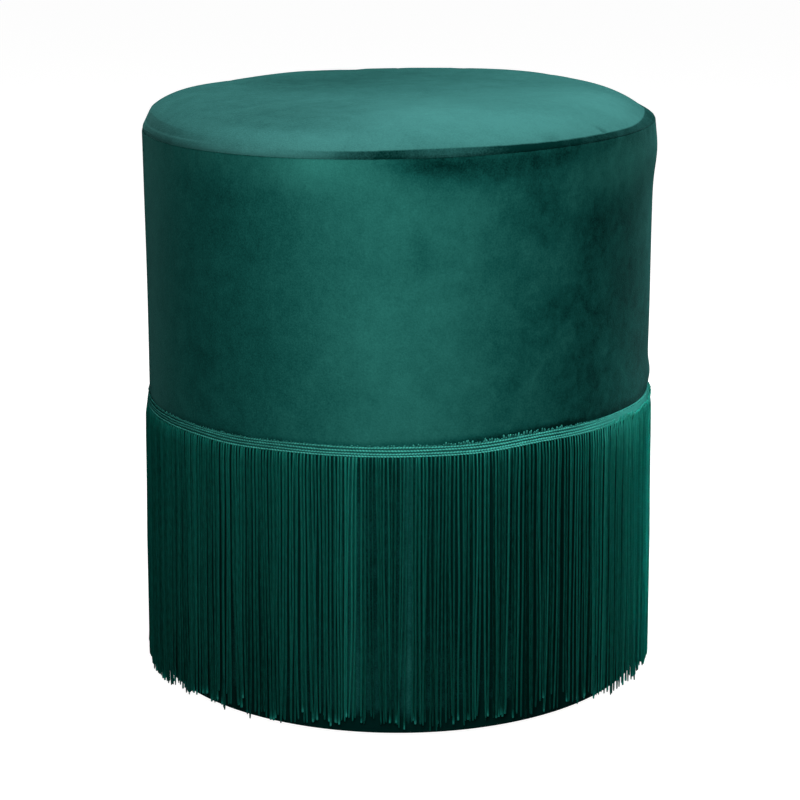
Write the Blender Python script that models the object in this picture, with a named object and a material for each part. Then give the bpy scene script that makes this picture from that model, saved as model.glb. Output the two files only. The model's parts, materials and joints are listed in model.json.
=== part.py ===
"""Round velvet accent stool with a hanging fringe skirt, at full size.

Units are metres and +Z is up. The origin is on the floor, under the middle of the seat.
A timber drum (two boards, a middle ring and six posts) wears a hardboard skin, foam and a
sewn velvet cover. The fringe hangs from a braided heading at mid height, and the drum stands
on four screwed glides.
"""

import math

import bmesh
import bpy
from mathutils import Matrix

# Overall form
BODY_RADIUS = 0.175
STOOL_HEIGHT = 0.405
CROWN_RISE = 0.0236
CROWN_FLATNESS = 6.0
CROWN_ROUNDNESS = 1.5

# Clearance between neighbouring pieces
FIT_GAP = 0.0003

# Velvet cover
VELVET_THICKNESS = 0.0015
SEAM_ALLOWANCE = 0.010
HEM_WIDTH = 0.030
HEM_BEND_RADIUS = 0.002

# Foam and hardboard layers
SEAT_FOAM_EDGE = 0.0265
SIDE_FOAM_THICKNESS = 0.008
SKIN_THICKNESS = 0.003

# Timber frame
BASE_BOARD_THICKNESS = 0.015
SEAT_BOARD_THICKNESS = 0.012
BREATHER_RADIUS = 0.020
POST_COUNT = 6
POST_WIDTH = 0.040
POST_DEPTH = 0.020
RING_THICKNESS = 0.012
RING_WEB = 0.018

# Countersunk wood screws
SCREW_SHANK_RADIUS = 0.0020
SCREW_HEAD_RADIUS = 0.0042
SCREW_HEAD_RIM = 0.0004
SCREW_TIP = 0.005
FRAME_SCREW_LENGTH = 0.035
RING_SCREW_BITE = 0.012
GLIDE_SCREW_LENGTH = 0.014
SCREW_SINK = 0.0004

# Underside
DUST_COVER_THICKNESS = 0.0008
DUST_COVER_INSET = 0.012
GLIDE_COUNT = 4
GLIDE_RADIUS = 0.014
GLIDE_HEIGHT = 0.004
GLIDE_CHAMFER = 0.0015
GLIDE_SCREW_DEPTH = 0.0010
GLIDE_HEM_MARGIN = 0.010

# Fringe and its heading
HEADING_BOTTOM = 0.1935
HEADING_HEIGHT = 0.0075
HEADING_TAPE = 0.0006
HEADING_CORDS = 4
HEADING_CORD_RISE = 0.0007
STRAND_WIDTH = 0.0028
STRAND_GAP = 0.00085
STRAND_THICKNESS = 0.0012
STRAND_ROOT_HEIGHT = 0.0055
STRAND_FLARE = 0.0045
STRAND_TIP_HEIGHT = 0.008
STRAND_TIP_VARIATION = 0.009

# Facets
TURN_STEPS = 48
GLIDE_STEPS = 16
SCREW_STEPS = 8
CROWN_STEPS = 7
BEND_STEPS = 3

# Heights, worked up from the floor
DUST_COVER_BOTTOM = GLIDE_HEIGHT + FIT_GAP
HEM_BOTTOM = DUST_COVER_BOTTOM + DUST_COVER_THICKNESS + FIT_GAP
HEM_TOP = HEM_BOTTOM + VELVET_THICKNESS
BASE_BOTTOM = HEM_TOP + FIT_GAP
BASE_TOP = BASE_BOTTOM + BASE_BOARD_THICKNESS
SEAM_HEIGHT = STOOL_HEIGHT - CROWN_RISE
SEAT_FOAM_BOTTOM = SEAM_HEIGHT - SEAT_FOAM_EDGE
SEAT_TOP = SEAT_FOAM_BOTTOM - FIT_GAP
SEAT_BOTTOM = SEAT_TOP - SEAT_BOARD_THICKNESS
POST_BOTTOM = BASE_TOP + FIT_GAP
POST_TOP = SEAT_BOTTOM - FIT_GAP
HEADING_TOP = HEADING_BOTTOM + HEADING_HEIGHT
RING_MIDDLE = HEADING_BOTTOM + HEADING_HEIGHT / 2

# Radii, worked in from the velvet
COVER_INSIDE = BODY_RADIUS - VELVET_THICKNESS
FOAM_OUTSIDE = COVER_INSIDE - FIT_GAP
FOAM_INSIDE = FOAM_OUTSIDE - SIDE_FOAM_THICKNESS
SKIN_OUTSIDE = FOAM_INSIDE - FIT_GAP
SKIN_INSIDE = SKIN_OUTSIDE - SKIN_THICKNESS
FRAME_RADIUS = SKIN_INSIDE - FIT_GAP
ALLOWANCE_INSIDE = FOAM_OUTSIDE - VELVET_THICKNESS
HEM_INSIDE = BODY_RADIUS - HEM_WIDTH
GLIDE_CIRCLE = HEM_INSIDE - GLIDE_HEM_MARGIN - GLIDE_RADIUS

# The skin is a polygon, so the posts keep inside its flats
FLAT_SHARE = math.cos(math.pi / TURN_STEPS)
POST_FACE = math.sqrt((FRAME_RADIUS * FLAT_SHARE) ** 2 - (POST_WIDTH / 2) ** 2)
POST_CIRCLE = POST_FACE - POST_DEPTH / 2
SLOT_START = POST_FACE - POST_DEPTH - FIT_GAP
RING_INSIDE = SLOT_START - RING_WEB
RING_SCREW_LENGTH = POST_FACE - SLOT_START + RING_SCREW_BITE

# Radii of the trim, worked out from the velvet
STRAND_INSIDE = BODY_RADIUS + FIT_GAP
STRAND_OUTSIDE = STRAND_INSIDE + STRAND_THICKNESS
HEADING_INSIDE = (STRAND_OUTSIDE + FIT_GAP) / FLAT_SHARE

SCREW_HEAD_DEPTH = SCREW_HEAD_RIM + SCREW_HEAD_RADIUS - SCREW_SHANK_RADIUS
DRILL_ACCESS = SCREW_SINK + GLIDE_SCREW_DEPTH + FIT_GAP


def clear_scene():
    """Removes every object, so that the model starts from nothing."""
    for item in list(bpy.data.objects):
        bpy.data.objects.remove(item)


def finish(name, colour, roughness, metallic=0.0):
    """A plain material of one colour."""
    made = bpy.data.materials.new(name)
    made.use_nodes = True
    shader = made.node_tree.nodes["Principled BSDF"]
    shader.inputs["Base Color"].default_value = (*colour, 1.0)
    shader.inputs["Roughness"].default_value = roughness
    shader.inputs["Metallic"].default_value = metallic
    return made


def group(name):
    """An empty that carries the pieces of one part of the stool."""
    made = bpy.data.objects.new(name, None)
    bpy.context.scene.collection.objects.link(made)
    return made


def place(name, mesh, parent, material, location=(0, 0, 0), rotation=(0, 0, 0)):
    """One named piece in its place."""
    made = bpy.data.objects.new(name, mesh)
    made.location = location
    made.rotation_euler = rotation
    made.parent = parent
    if not mesh.materials:
        mesh.materials.append(material)
    bpy.context.scene.collection.objects.link(made)
    return made


def mesh_of(name, shape, smooth_angle=35):
    """The mesh of a bmesh, with its faces outward and its round stretches shaded smooth."""
    bmesh.ops.remove_doubles(shape, verts=shape.verts, dist=1e-6)
    bmesh.ops.recalc_face_normals(shape, faces=shape.faces)
    made = bpy.data.meshes.new(name)
    shape.to_mesh(made)
    shape.free()
    made.shade_smooth()
    made.set_sharp_from_angle(angle=math.radians(smooth_angle))
    return made


def turned(name, profile, steps=TURN_STEPS):
    """A profile of (radius, height) points turned about Z. A profile off the axis is closed to a ring."""
    shape = bmesh.new()
    points = [shape.verts.new((radius, 0, height)) for radius, height in profile]
    pairs = list(zip(points, points[1:]))
    if profile[0][0] > 0:
        pairs.append((points[-1], points[0]))
    edges = [shape.edges.new(pair) for pair in pairs]
    bmesh.ops.spin(
        shape, geom=points + edges, cent=(0, 0, 0), axis=(0, 0, 1),
        angle=2 * math.pi, steps=steps, use_merge=True, use_normal_flip=False,
    )
    return mesh_of(name, shape)


def block(name, depth, width, height):
    """A box about its own centre: depth along X, width along Y."""
    shape = bmesh.new()
    bmesh.ops.create_cube(shape, size=1.0, matrix=Matrix.Diagonal((depth, width, height, 1)))
    return mesh_of(name, shape)


def around(count, start=0.0):
    """Evenly spaced angles round the stool."""
    return [start + 2 * math.pi * step / count for step in range(count)]


def on_circle(radius, angle, height):
    return (radius * math.cos(angle), radius * math.sin(angle), height)


def crown_height(radius, edge_radius, rise):
    """Height of the crowned seat over its seam, at a radius."""
    share = min(radius / edge_radius, 1.0)
    return rise * (1 - share**CROWN_FLATNESS) ** (1 / CROWN_ROUNDNESS)


def crown(limit, edge_radius, rise):
    """Points of the crown from the axis out to a limit, closer together near the edge."""
    points = []
    for step in range(CROWN_STEPS + 1):
        radius = limit * math.sin(math.pi / 2 * step / CROWN_STEPS)
        points.append((radius, SEAM_HEIGHT + crown_height(radius, edge_radius, rise)))
    return points


def bend(radius, centre_radius, centre_height):
    """A quarter turn from the wall, at the right, to the underside."""
    points = []
    for step in range(BEND_STEPS + 1):
        angle = math.pi / 2 * step / BEND_STEPS
        points.append((centre_radius + radius * math.cos(angle), centre_height - radius * math.sin(angle)))
    return points


def screw_mesh(name, length):
    """A countersunk screw with its head's face at the origin, pointing down."""
    return turned(name, [
        (0, 0),
        (SCREW_HEAD_RADIUS, 0),
        (SCREW_HEAD_RADIUS, -SCREW_HEAD_RIM),
        (SCREW_SHANK_RADIUS, -SCREW_HEAD_DEPTH),
        (SCREW_SHANK_RADIUS, SCREW_TIP - length),
        (0, -length),
    ], SCREW_STEPS)


def drill_mesh(name, length):
    """The hole that a screw sits in, open above its head."""
    head = SCREW_HEAD_RADIUS + FIT_GAP
    shank = SCREW_SHANK_RADIUS + FIT_GAP
    return turned(name, [
        (0, DRILL_ACCESS),
        (head, DRILL_ACCESS),
        (head, -SCREW_HEAD_RIM - FIT_GAP),
        (shank, -SCREW_HEAD_DEPTH - FIT_GAP),
        (shank, SCREW_TIP - length),
        (0, -length - 2 * FIT_GAP),
    ], SCREW_STEPS)


def cutter_collection(name):
    """A collection of shapes that only cut others."""
    made = bpy.data.collections.new(name)
    made.hide_render = True
    bpy.context.scene.collection.children.link(made)
    return made


def add_cutter(cutters, name, mesh, location, rotation):
    made = bpy.data.objects.new(name, mesh)
    made.location = location
    made.rotation_euler = rotation
    made.hide_render = True
    made.display_type = "WIRE"
    cutters.objects.link(made)


def cut(piece, cutters):
    """Takes every shape of a collection out of a piece."""
    modifier = piece.modifiers.new("cut_" + cutters.name, "BOOLEAN")
    modifier.operation = "DIFFERENCE"
    modifier.operand_type = "COLLECTION"
    modifier.collection = cutters
    modifier.solver = "EXACT"


def screws(name, length, places, parent, material, drills):
    """One screw and one drilled hole at each (location, rotation)."""
    screw = screw_mesh(name, length)
    drill = drill_mesh(name + "_drill", length)
    for number, (location, rotation) in enumerate(places, 1):
        place(f"{name}_{number}", screw, parent, material, location, rotation)
        add_cutter(drills, f"{name}_drill_{number}", drill, location, rotation)


def frame_screws(parent, material, drills):
    """Screws down through the seat board, up through the base board and in through the posts."""
    downward = (0, 0, 0)
    upward = (math.pi, 0, 0)
    angles = around(POST_COUNT)
    seat_head = SEAT_TOP - SCREW_SINK
    base_head = BASE_BOTTOM + SCREW_SINK
    ring_head = POST_FACE - SCREW_SINK
    seat_places = [(on_circle(POST_CIRCLE, angle, seat_head), downward) for angle in angles]
    base_places = [(on_circle(POST_CIRCLE, angle, base_head), upward) for angle in angles]
    ring_places = [
        (on_circle(ring_head, angle, RING_MIDDLE), (0, math.pi / 2, angle)) for angle in angles
    ]
    screws("seat_screw", FRAME_SCREW_LENGTH, seat_places, parent, material, drills)
    screws("base_screw", FRAME_SCREW_LENGTH, base_places, parent, material, drills)
    screws("ring_screw", RING_SCREW_LENGTH, ring_places, parent, material, drills)


def board(name, bottom, top, parent, material, *drills):
    """A round board with a breather hole, drilled for its screws."""
    mesh = turned(name, [
        (BREATHER_RADIUS, top),
        (FRAME_RADIUS, top),
        (FRAME_RADIUS, bottom),
        (BREATHER_RADIUS, bottom),
    ])
    made = place(name, mesh, parent, material)
    for cutters in drills:
        cut(made, cutters)


def posts(parent, material, drills, slots):
    """Upright posts between the boards, and the slots that they take in the middle ring."""
    height = POST_TOP - POST_BOTTOM
    middle = (POST_TOP + POST_BOTTOM) / 2
    slot_depth = BODY_RADIUS - SLOT_START
    slot = block("post_slot", slot_depth, POST_WIDTH + 2 * FIT_GAP, height)
    for number, angle in enumerate(around(POST_COUNT), 1):
        rotation = (0, 0, angle)
        location = on_circle(POST_CIRCLE, angle, middle)
        slot_location = on_circle(SLOT_START + slot_depth / 2, angle, middle)
        post = block(f"post_{number}", POST_DEPTH, POST_WIDTH, height)
        cut(place(f"post_{number}", post, parent, material, location, rotation), drills)
        add_cutter(slots, f"post_slot_{number}", slot, slot_location, rotation)


def middle_ring(parent, material, drills, slots):
    """A ring let in between the posts, behind the fringe's heading."""
    top = RING_MIDDLE + RING_THICKNESS / 2
    bottom = RING_MIDDLE - RING_THICKNESS / 2
    mesh = turned("middle_ring", [
        (RING_INSIDE, top),
        (FRAME_RADIUS, top),
        (FRAME_RADIUS, bottom),
        (RING_INSIDE, bottom),
    ])
    ring = place("middle_ring", mesh, parent, material)
    cut(ring, slots)
    cut(ring, drills)


def drum_skin(parent, material):
    """Thin hardboard bent round the frame, flush with both boards."""
    mesh = turned("drum_skin", [
        (SKIN_INSIDE, SEAT_TOP),
        (SKIN_OUTSIDE, SEAT_TOP),
        (SKIN_OUTSIDE, BASE_BOTTOM),
        (SKIN_INSIDE, BASE_BOTTOM),
    ])
    place("drum_skin", mesh, parent, material)


def side_foam(parent, material):
    """A foam sheet wrapped round the skin, stopping above the hem's bend."""
    bottom = HEM_TOP + HEM_BEND_RADIUS + FIT_GAP
    mesh = turned("side_foam", [
        (FOAM_INSIDE, SEAT_TOP),
        (FOAM_OUTSIDE, SEAT_TOP),
        (FOAM_OUTSIDE, bottom),
        (FOAM_INSIDE, bottom),
    ])
    place("side_foam", mesh, parent, material)


def seat_foam(parent, material):
    """The crowned cushion, rebated at its edge for the cover's seam allowance."""
    limit = ALLOWANCE_INSIDE - FIT_GAP
    rise = CROWN_RISE - VELVET_THICKNESS - FIT_GAP
    rebate = SEAM_HEIGHT - SEAM_ALLOWANCE - FIT_GAP
    mesh = turned("seat_foam", crown(limit, FOAM_OUTSIDE, rise) + [
        (limit, rebate),
        (FOAM_OUTSIDE, rebate),
        (FOAM_OUTSIDE, SEAT_FOAM_BOTTOM),
        (0, SEAT_FOAM_BOTTOM),
    ])
    place("seat_foam", mesh, parent, material)


def seat_cover(parent, material):
    """The round velvet panel, with its seam allowance turned down inside the side panel."""
    rim = SEAM_HEIGHT + FIT_GAP / 2
    tail = SEAM_HEIGHT - SEAM_ALLOWANCE
    outer = crown(BODY_RADIUS, BODY_RADIUS, CROWN_RISE)[:-1]
    inner = crown(ALLOWANCE_INSIDE, COVER_INSIDE, CROWN_RISE - VELVET_THICKNESS)
    mesh = turned("seat_cover", outer + [
        (BODY_RADIUS, rim),
        (FOAM_OUTSIDE, rim),
        (FOAM_OUTSIDE, tail),
        (ALLOWANCE_INSIDE, tail),
    ] + inner[::-1])
    place("seat_cover", mesh, parent, material)


def side_cover(parent, material):
    """The velvet band, sewn to the seat panel and turned under the base board as a hem."""
    rim = SEAM_HEIGHT - FIT_GAP / 2
    bend_centre = (COVER_INSIDE - HEM_BEND_RADIUS, HEM_TOP + HEM_BEND_RADIUS)
    outer = bend(HEM_BEND_RADIUS + VELVET_THICKNESS, *bend_centre)
    inner = bend(HEM_BEND_RADIUS, *bend_centre)
    mesh = turned("side_cover", [
        (BODY_RADIUS, rim),
        *outer,
        (HEM_INSIDE, HEM_BOTTOM),
        (HEM_INSIDE, HEM_TOP),
        *inner[::-1],
        (COVER_INSIDE, rim),
    ])
    place("side_cover", mesh, parent, material)


def dust_cover(parent, material, drills):
    """Thin cloth closing the underside over the hem."""
    radius = BODY_RADIUS - DUST_COVER_INSET
    top = DUST_COVER_BOTTOM + DUST_COVER_THICKNESS
    mesh = turned("dust_cover", [
        (0, top),
        (radius, top),
        (radius, DUST_COVER_BOTTOM),
        (0, DUST_COVER_BOTTOM),
    ])
    cut(place("dust_cover", mesh, parent, material), drills)


def glides(parent, plastic, steel, drills):
    """Moulded glides under the dust cover, each held by one sunk screw."""
    profile = [
        (0, GLIDE_HEIGHT),
        (GLIDE_RADIUS, GLIDE_HEIGHT),
        (GLIDE_RADIUS, GLIDE_CHAMFER),
        (GLIDE_RADIUS - GLIDE_CHAMFER, 0),
        (0, 0),
    ]
    angles = around(GLIDE_COUNT, math.pi / GLIDE_COUNT)
    places = []
    for number, angle in enumerate(angles, 1):
        mesh = turned(f"glide_{number}", profile, GLIDE_STEPS)
        location = on_circle(GLIDE_CIRCLE, angle, 0)
        cut(place(f"glide_{number}", mesh, parent, plastic, location), drills)
        places.append((on_circle(GLIDE_CIRCLE, angle, GLIDE_SCREW_DEPTH), (math.pi, 0, 0)))
    screws("glide_screw", GLIDE_SCREW_LENGTH, places, parent, steel, drills)


def fringe_heading(parent, material):
    """The braided band over the fringe's roots, with its cords as ridges."""
    tape = HEADING_INSIDE + HEADING_TAPE
    ridge = tape + HEADING_CORD_RISE
    pitch = HEADING_HEIGHT / HEADING_CORDS
    profile = [(HEADING_INSIDE, HEADING_TOP), (tape, HEADING_TOP)]
    for cord in range(HEADING_CORDS):
        top = HEADING_TOP - cord * pitch
        profile += [(ridge, top - pitch / 4), (ridge, top - pitch * 3 / 4), (tape, top - pitch)]
    profile.append((HEADING_INSIDE, HEADING_BOTTOM))
    place("fringe_heading", turned("fringe_heading", profile), parent, material)


def strand_tip(number):
    """Height of one strand's cut end. The lengths scatter the same way each time."""
    scatter = (math.sin(number * 12.9898) * 43758.5453) % 1.0
    return STRAND_TIP_HEIGHT + STRAND_TIP_VARIATION * scatter


def fringe_strands(parent, material):
    """A comb of hanging strands, joined at their roots by the slice behind the heading."""
    quarter = math.pi / 2 * STRAND_INSIDE
    count = 4 * int(quarter / (STRAND_WIDTH + STRAND_GAP))
    pitch = 2 * math.pi / count
    half_strand = pitch / 2 * STRAND_WIDTH / (STRAND_WIDTH + STRAND_GAP)
    root = HEADING_TOP - FIT_GAP - STRAND_ROOT_HEIGHT
    corners = [
        (STRAND_OUTSIDE, HEADING_TOP - FIT_GAP),
        (STRAND_INSIDE, HEADING_TOP - FIT_GAP),
        (STRAND_INSIDE, root),
        (STRAND_OUTSIDE, root),
    ]
    shape = bmesh.new()
    sections = []
    for number in range(count):
        for angle in (number * pitch - half_strand, number * pitch + half_strand):
            sections.append([
                shape.verts.new(on_circle(radius, angle, height)) for radius, height in corners
            ])
    roots = []
    for index, here in enumerate(sections):
        there = sections[(index + 1) % len(sections)]
        for side in range(4):
            after = (side + 1) % 4
            face = shape.faces.new((here[side], here[after], there[after], there[side]))
            if side == 2 and index % 2 == 0:
                roots.append(face)
    bmesh.ops.recalc_face_normals(shape, faces=shape.faces)
    tips = bmesh.ops.extrude_discrete_faces(shape, faces=roots)["faces"]
    for number, tip in enumerate(tips):
        for corner in tip.verts:
            radius = corner.co.xy.length
            corner.co.xy *= (radius + STRAND_FLARE) / radius
            corner.co.z = strand_tip(number)
    place("fringe_strands", mesh_of("fringe_strands", shape), parent, material)


def main():
    clear_scene()
    velvet = finish("green_velvet", (0.012, 0.105, 0.088), 0.9)
    yarn = finish("green_yarn", (0.004, 0.070, 0.055), 0.6)
    braid = finish("green_braid", (0.020, 0.190, 0.155), 0.6)
    foam = finish("cream_foam", (0.80, 0.72, 0.50), 0.95)
    plywood = finish("plywood", (0.62, 0.44, 0.26), 0.7)
    softwood = finish("softwood", (0.70, 0.52, 0.32), 0.7)
    hardboard = finish("hardboard", (0.26, 0.16, 0.09), 0.8)
    dust_cloth = finish("black_cloth", (0.02, 0.02, 0.02), 0.95)
    plastic = finish("black_plastic", (0.03, 0.03, 0.03), 0.45)
    steel = finish("zinc_steel", (0.65, 0.63, 0.58), 0.35, 1.0)

    frame = group("frame")
    upholstery = group("upholstery")
    trim = group("trim")
    underside = group("underside")
    frame_drills = cutter_collection("frame_drills")
    glide_drills = cutter_collection("glide_drills")
    slots = cutter_collection("post_slots")

    frame_screws(frame, steel, frame_drills)
    board("base_board", BASE_BOTTOM, BASE_TOP, frame, plywood, frame_drills, glide_drills)
    board("seat_board", SEAT_BOTTOM, SEAT_TOP, frame, plywood, frame_drills)
    posts(frame, softwood, frame_drills, slots)
    middle_ring(frame, plywood, frame_drills, slots)
    drum_skin(frame, hardboard)
    side_foam(upholstery, foam)
    seat_foam(upholstery, foam)
    seat_cover(upholstery, velvet)
    side_cover(upholstery, velvet)
    dust_cover(underside, dust_cloth, glide_drills)
    glides(underside, plastic, steel, glide_drills)
    fringe_heading(trim, braid)
    fringe_strands(trim, yarn)


main()
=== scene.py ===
"""Dresses the round stool: velvet covers, braid heading, long fringe, underside, frame and stage."""

import json
import math

import bpy
import numpy as np
from bpy.props import FloatProperty, FloatVectorProperty, IntProperty, PointerProperty
from bpy.types import Operator, Panel, PropertyGroup
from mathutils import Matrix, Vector

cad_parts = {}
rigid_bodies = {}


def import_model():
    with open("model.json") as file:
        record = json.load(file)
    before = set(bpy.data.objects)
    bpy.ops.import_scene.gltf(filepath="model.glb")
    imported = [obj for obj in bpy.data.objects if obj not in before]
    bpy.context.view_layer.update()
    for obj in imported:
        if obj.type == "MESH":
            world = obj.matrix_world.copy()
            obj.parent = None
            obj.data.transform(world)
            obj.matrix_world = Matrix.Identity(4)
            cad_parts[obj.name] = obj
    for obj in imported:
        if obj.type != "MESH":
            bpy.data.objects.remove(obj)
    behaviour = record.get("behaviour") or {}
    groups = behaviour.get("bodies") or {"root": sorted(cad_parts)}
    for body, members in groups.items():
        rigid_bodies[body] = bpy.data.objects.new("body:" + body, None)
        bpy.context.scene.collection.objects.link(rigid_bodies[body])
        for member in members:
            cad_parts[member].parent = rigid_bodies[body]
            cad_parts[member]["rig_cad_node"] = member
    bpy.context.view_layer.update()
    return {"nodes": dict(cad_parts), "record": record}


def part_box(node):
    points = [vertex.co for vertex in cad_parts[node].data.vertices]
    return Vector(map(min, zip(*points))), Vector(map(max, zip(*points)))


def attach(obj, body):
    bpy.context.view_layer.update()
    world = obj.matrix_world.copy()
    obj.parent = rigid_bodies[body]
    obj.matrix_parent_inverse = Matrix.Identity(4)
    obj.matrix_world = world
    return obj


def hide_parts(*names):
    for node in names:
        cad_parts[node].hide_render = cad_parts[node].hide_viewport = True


bl_info = {
    "name": "Fringed Velvet Stool",
    "version": (1, 0, 0),
    "blender": (4, 5, 0),
    "location": "View3D > Sidebar > Stool",
    "description": "Dresses a round stool in velvet with a braid heading and a long fringe",
    "category": "Add Mesh",
}

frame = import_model()

SIDE_LOW, SIDE_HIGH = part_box("side_cover")
SEAT_LOW, SEAT_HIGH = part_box("seat_cover")
HEADING_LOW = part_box("fringe_heading")[0]
SEAT_FOAM_LOW, SEAT_FOAM_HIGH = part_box("seat_foam")
SIDE_FOAM_LOW, SIDE_FOAM_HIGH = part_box("side_foam")
DUST_LOW, DUST_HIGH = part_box("dust_cover")
GLIDE_NODES = sorted(node for node in frame["nodes"] if node.startswith("glide_") and "screw" not in node)

MM = 0.001
TURN = 2 * math.pi
FRONT = -math.pi / 2
BACK = math.pi / 2
ROUND_STEPS = 480
EVEN = (1, 1, 1)

# Each patch where the side is painted lighter or darker, partly its brushed nap and partly painted light and
# shade:
# degrees right of the front, height as a share of the seam's, half width in degrees, half height in metres,
# and the change.
SIDE_NAP_AND_LIGHT_STROKES = (
    (-17, 0.985, 10, 0.014, 0.33),
    (-38, 0.990, 18, 0.016, 0.15),
    (-80, 0.960, 18, 0.040, 0.16),
    (4, 0.992, 9, 0.0085, -0.36),
    (17, 0.983, 12, 0.012, -0.33),
    (36, 0.990, 12, 0.007, -0.24),
    (58, 0.962, 16, 0.020, 0.54),
    (80, 0.900, 12, 0.050, 0.34),
    (76, 0.580, 10, 0.040, -0.36),
    (47, 0.880, 5, 0.020, -0.14),
    (31, 0.930, 5, 0.014, -0.17),
    (32, 0.825, 5, 0.012, 0.12),
    (5, 0.850, 3, 0.014, -0.15),
    (44, 0.800, 4, 0.016, -0.08),
    (36, 0.780, 4, 0.014, 0.02),
    (35, 0.745, 7, 0.011, -0.16),
    (48, 0.745, 4, 0.012, 0.08),
    (26, 0.700, 6, 0.012, -0.06),
    (41, 0.640, 3, 0.014, -0.10),
    (50, 0.640, 4, 0.024, 0.04),
    (25, 0.640, 3, 0.012, -0.09),
    (46, 0.570, 4, 0.016, -0.10),
    (22, 0.570, 3, 0.010, -0.10),
)

# The same on the seat, partly brushed nap and partly painted light and shade: metres right of and behind the
# middle, half sizes along and across, the turn of the long half in degrees, and the change.
SEAT_NAP_AND_LIGHT_STROKES = (
    (-0.060, 0.034, 0.122, 0.082, 35, -0.37),
    (-0.075, -0.105, 0.055, 0.035, 0, -0.20),
    (0.020, 0.105, 0.130, 0.055, 0, -0.15),
    (0.075, -0.136, 0.100, 0.040, 8, 0.29),
    (0.138, -0.064, 0.038, 0.052, 20, 0.26),
    (0.075, 0.020, 0.110, 0.050, 8, -0.10),
    (0.010, -0.120, 0.030, 0.030, 0, 0.10),
)

# Where the seat's filling is fuller or slacker: metres right of and behind the middle, half sizes, rise.
SEAT_PUFFS = (
    (-0.162, 0.004, 0.046, 0.118, 0.0056),
    (-0.094, 0.116, 0.060, 0.048, 0.0022),
    (0.000, 0.150, 0.070, 0.040, 0.0010),
    (0.090, 0.120, 0.050, 0.040, 0.0006),
    (0.160, 0.020, 0.035, 0.080, -0.0014),
)

# Where the strands hang apart and the velvet shows between them, in degrees right of the front.
FRINGE_PARTS = (-9.6, 2.2, -38.0, 24.0)

# How light the side is painted round the drum, by degrees right of the front: partly how its pile lies,
# partly painted light and shade, lighter towards the front and darker on the flanks, with a painted sheen at
# the far left and right.
SIDE_NAP_AND_LIGHT = ((-180, 0.38), (-90, 0.56), (-75, 0.55), (-58, 0.38), (-47, 0.29), (-38, 0.28), (-30, 0.31),
            (-22, 0.40), (-15, 0.48), (-8, 0.57), (-2, 0.62), (5, 0.58), (12, 0.55), (19, 0.46), (26, 0.42),
            (34, 0.36), (42, 0.30), (52, 0.24), (65, 0.26), (90, 0.40), (180, 0.38))

# How light the strands are painted round the fringe, by degrees right of the front: partly their own tone,
# partly painted light and shade, lit most at the right.
FRINGE_TONE_AND_LIGHT = ((-180, 0.0), (-78, -0.04), (-62, -0.12), (-50, -0.18), (-38, 0.0), (-29, -0.02), (-22, 0.08),
              (-13, 0.06), (-9.5, 0.46), (-6, 0.0), (1, -0.10), (6, -0.08), (22, 0.0), (28, -0.16),
              (33, -0.05), (40, -0.08), (48, 0.02), (56, 0.18), (65, 0.32), (90, 0.28), (120, 0.0),
              (180, 0.0))

# How much higher the strands end round the fringe, in millimetres, by degrees right of the front.
TIP_LAY = ((-180, 0), (-76, 0), (-66, -2.2), (-57, 0.8), (-47, 2.2), (-38, -0.4), (-25, -2.4), (-8, -1.2),
           (12, 0.2), (30, 1.0), (42, 1.6), (52, 0.6), (62, -0.6), (76, 0.4), (90, 0), (180, 0))

# Where two strands lean apart and the dark shows, in degrees right of the front.
FRINGE_GAPS = (12.0, 19.5, 26.0, 31.5, 36.4, 38.6, 41.0, 44.3, 50.0, 54.6, 60.0)

# How light the strip between the crest and the seam is painted, by degrees right of the front: partly how the
# pile lies, partly painted shade where the strip faces down, darkest at the front and the right.
CREST_NAP_AND_SHADE = ((-180, -0.2), (-90, -0.10), (-62, -0.08), (-48, 0.04), (-32, 0.08), (-22, -0.10), (-14, -0.42),
             (-8, -0.68), (-2, -0.80), (5, -0.54), (12, -0.50), (19, -0.76), (26, -0.98), (60, -0.80),
             (90, -0.5), (180, -0.2))


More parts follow.
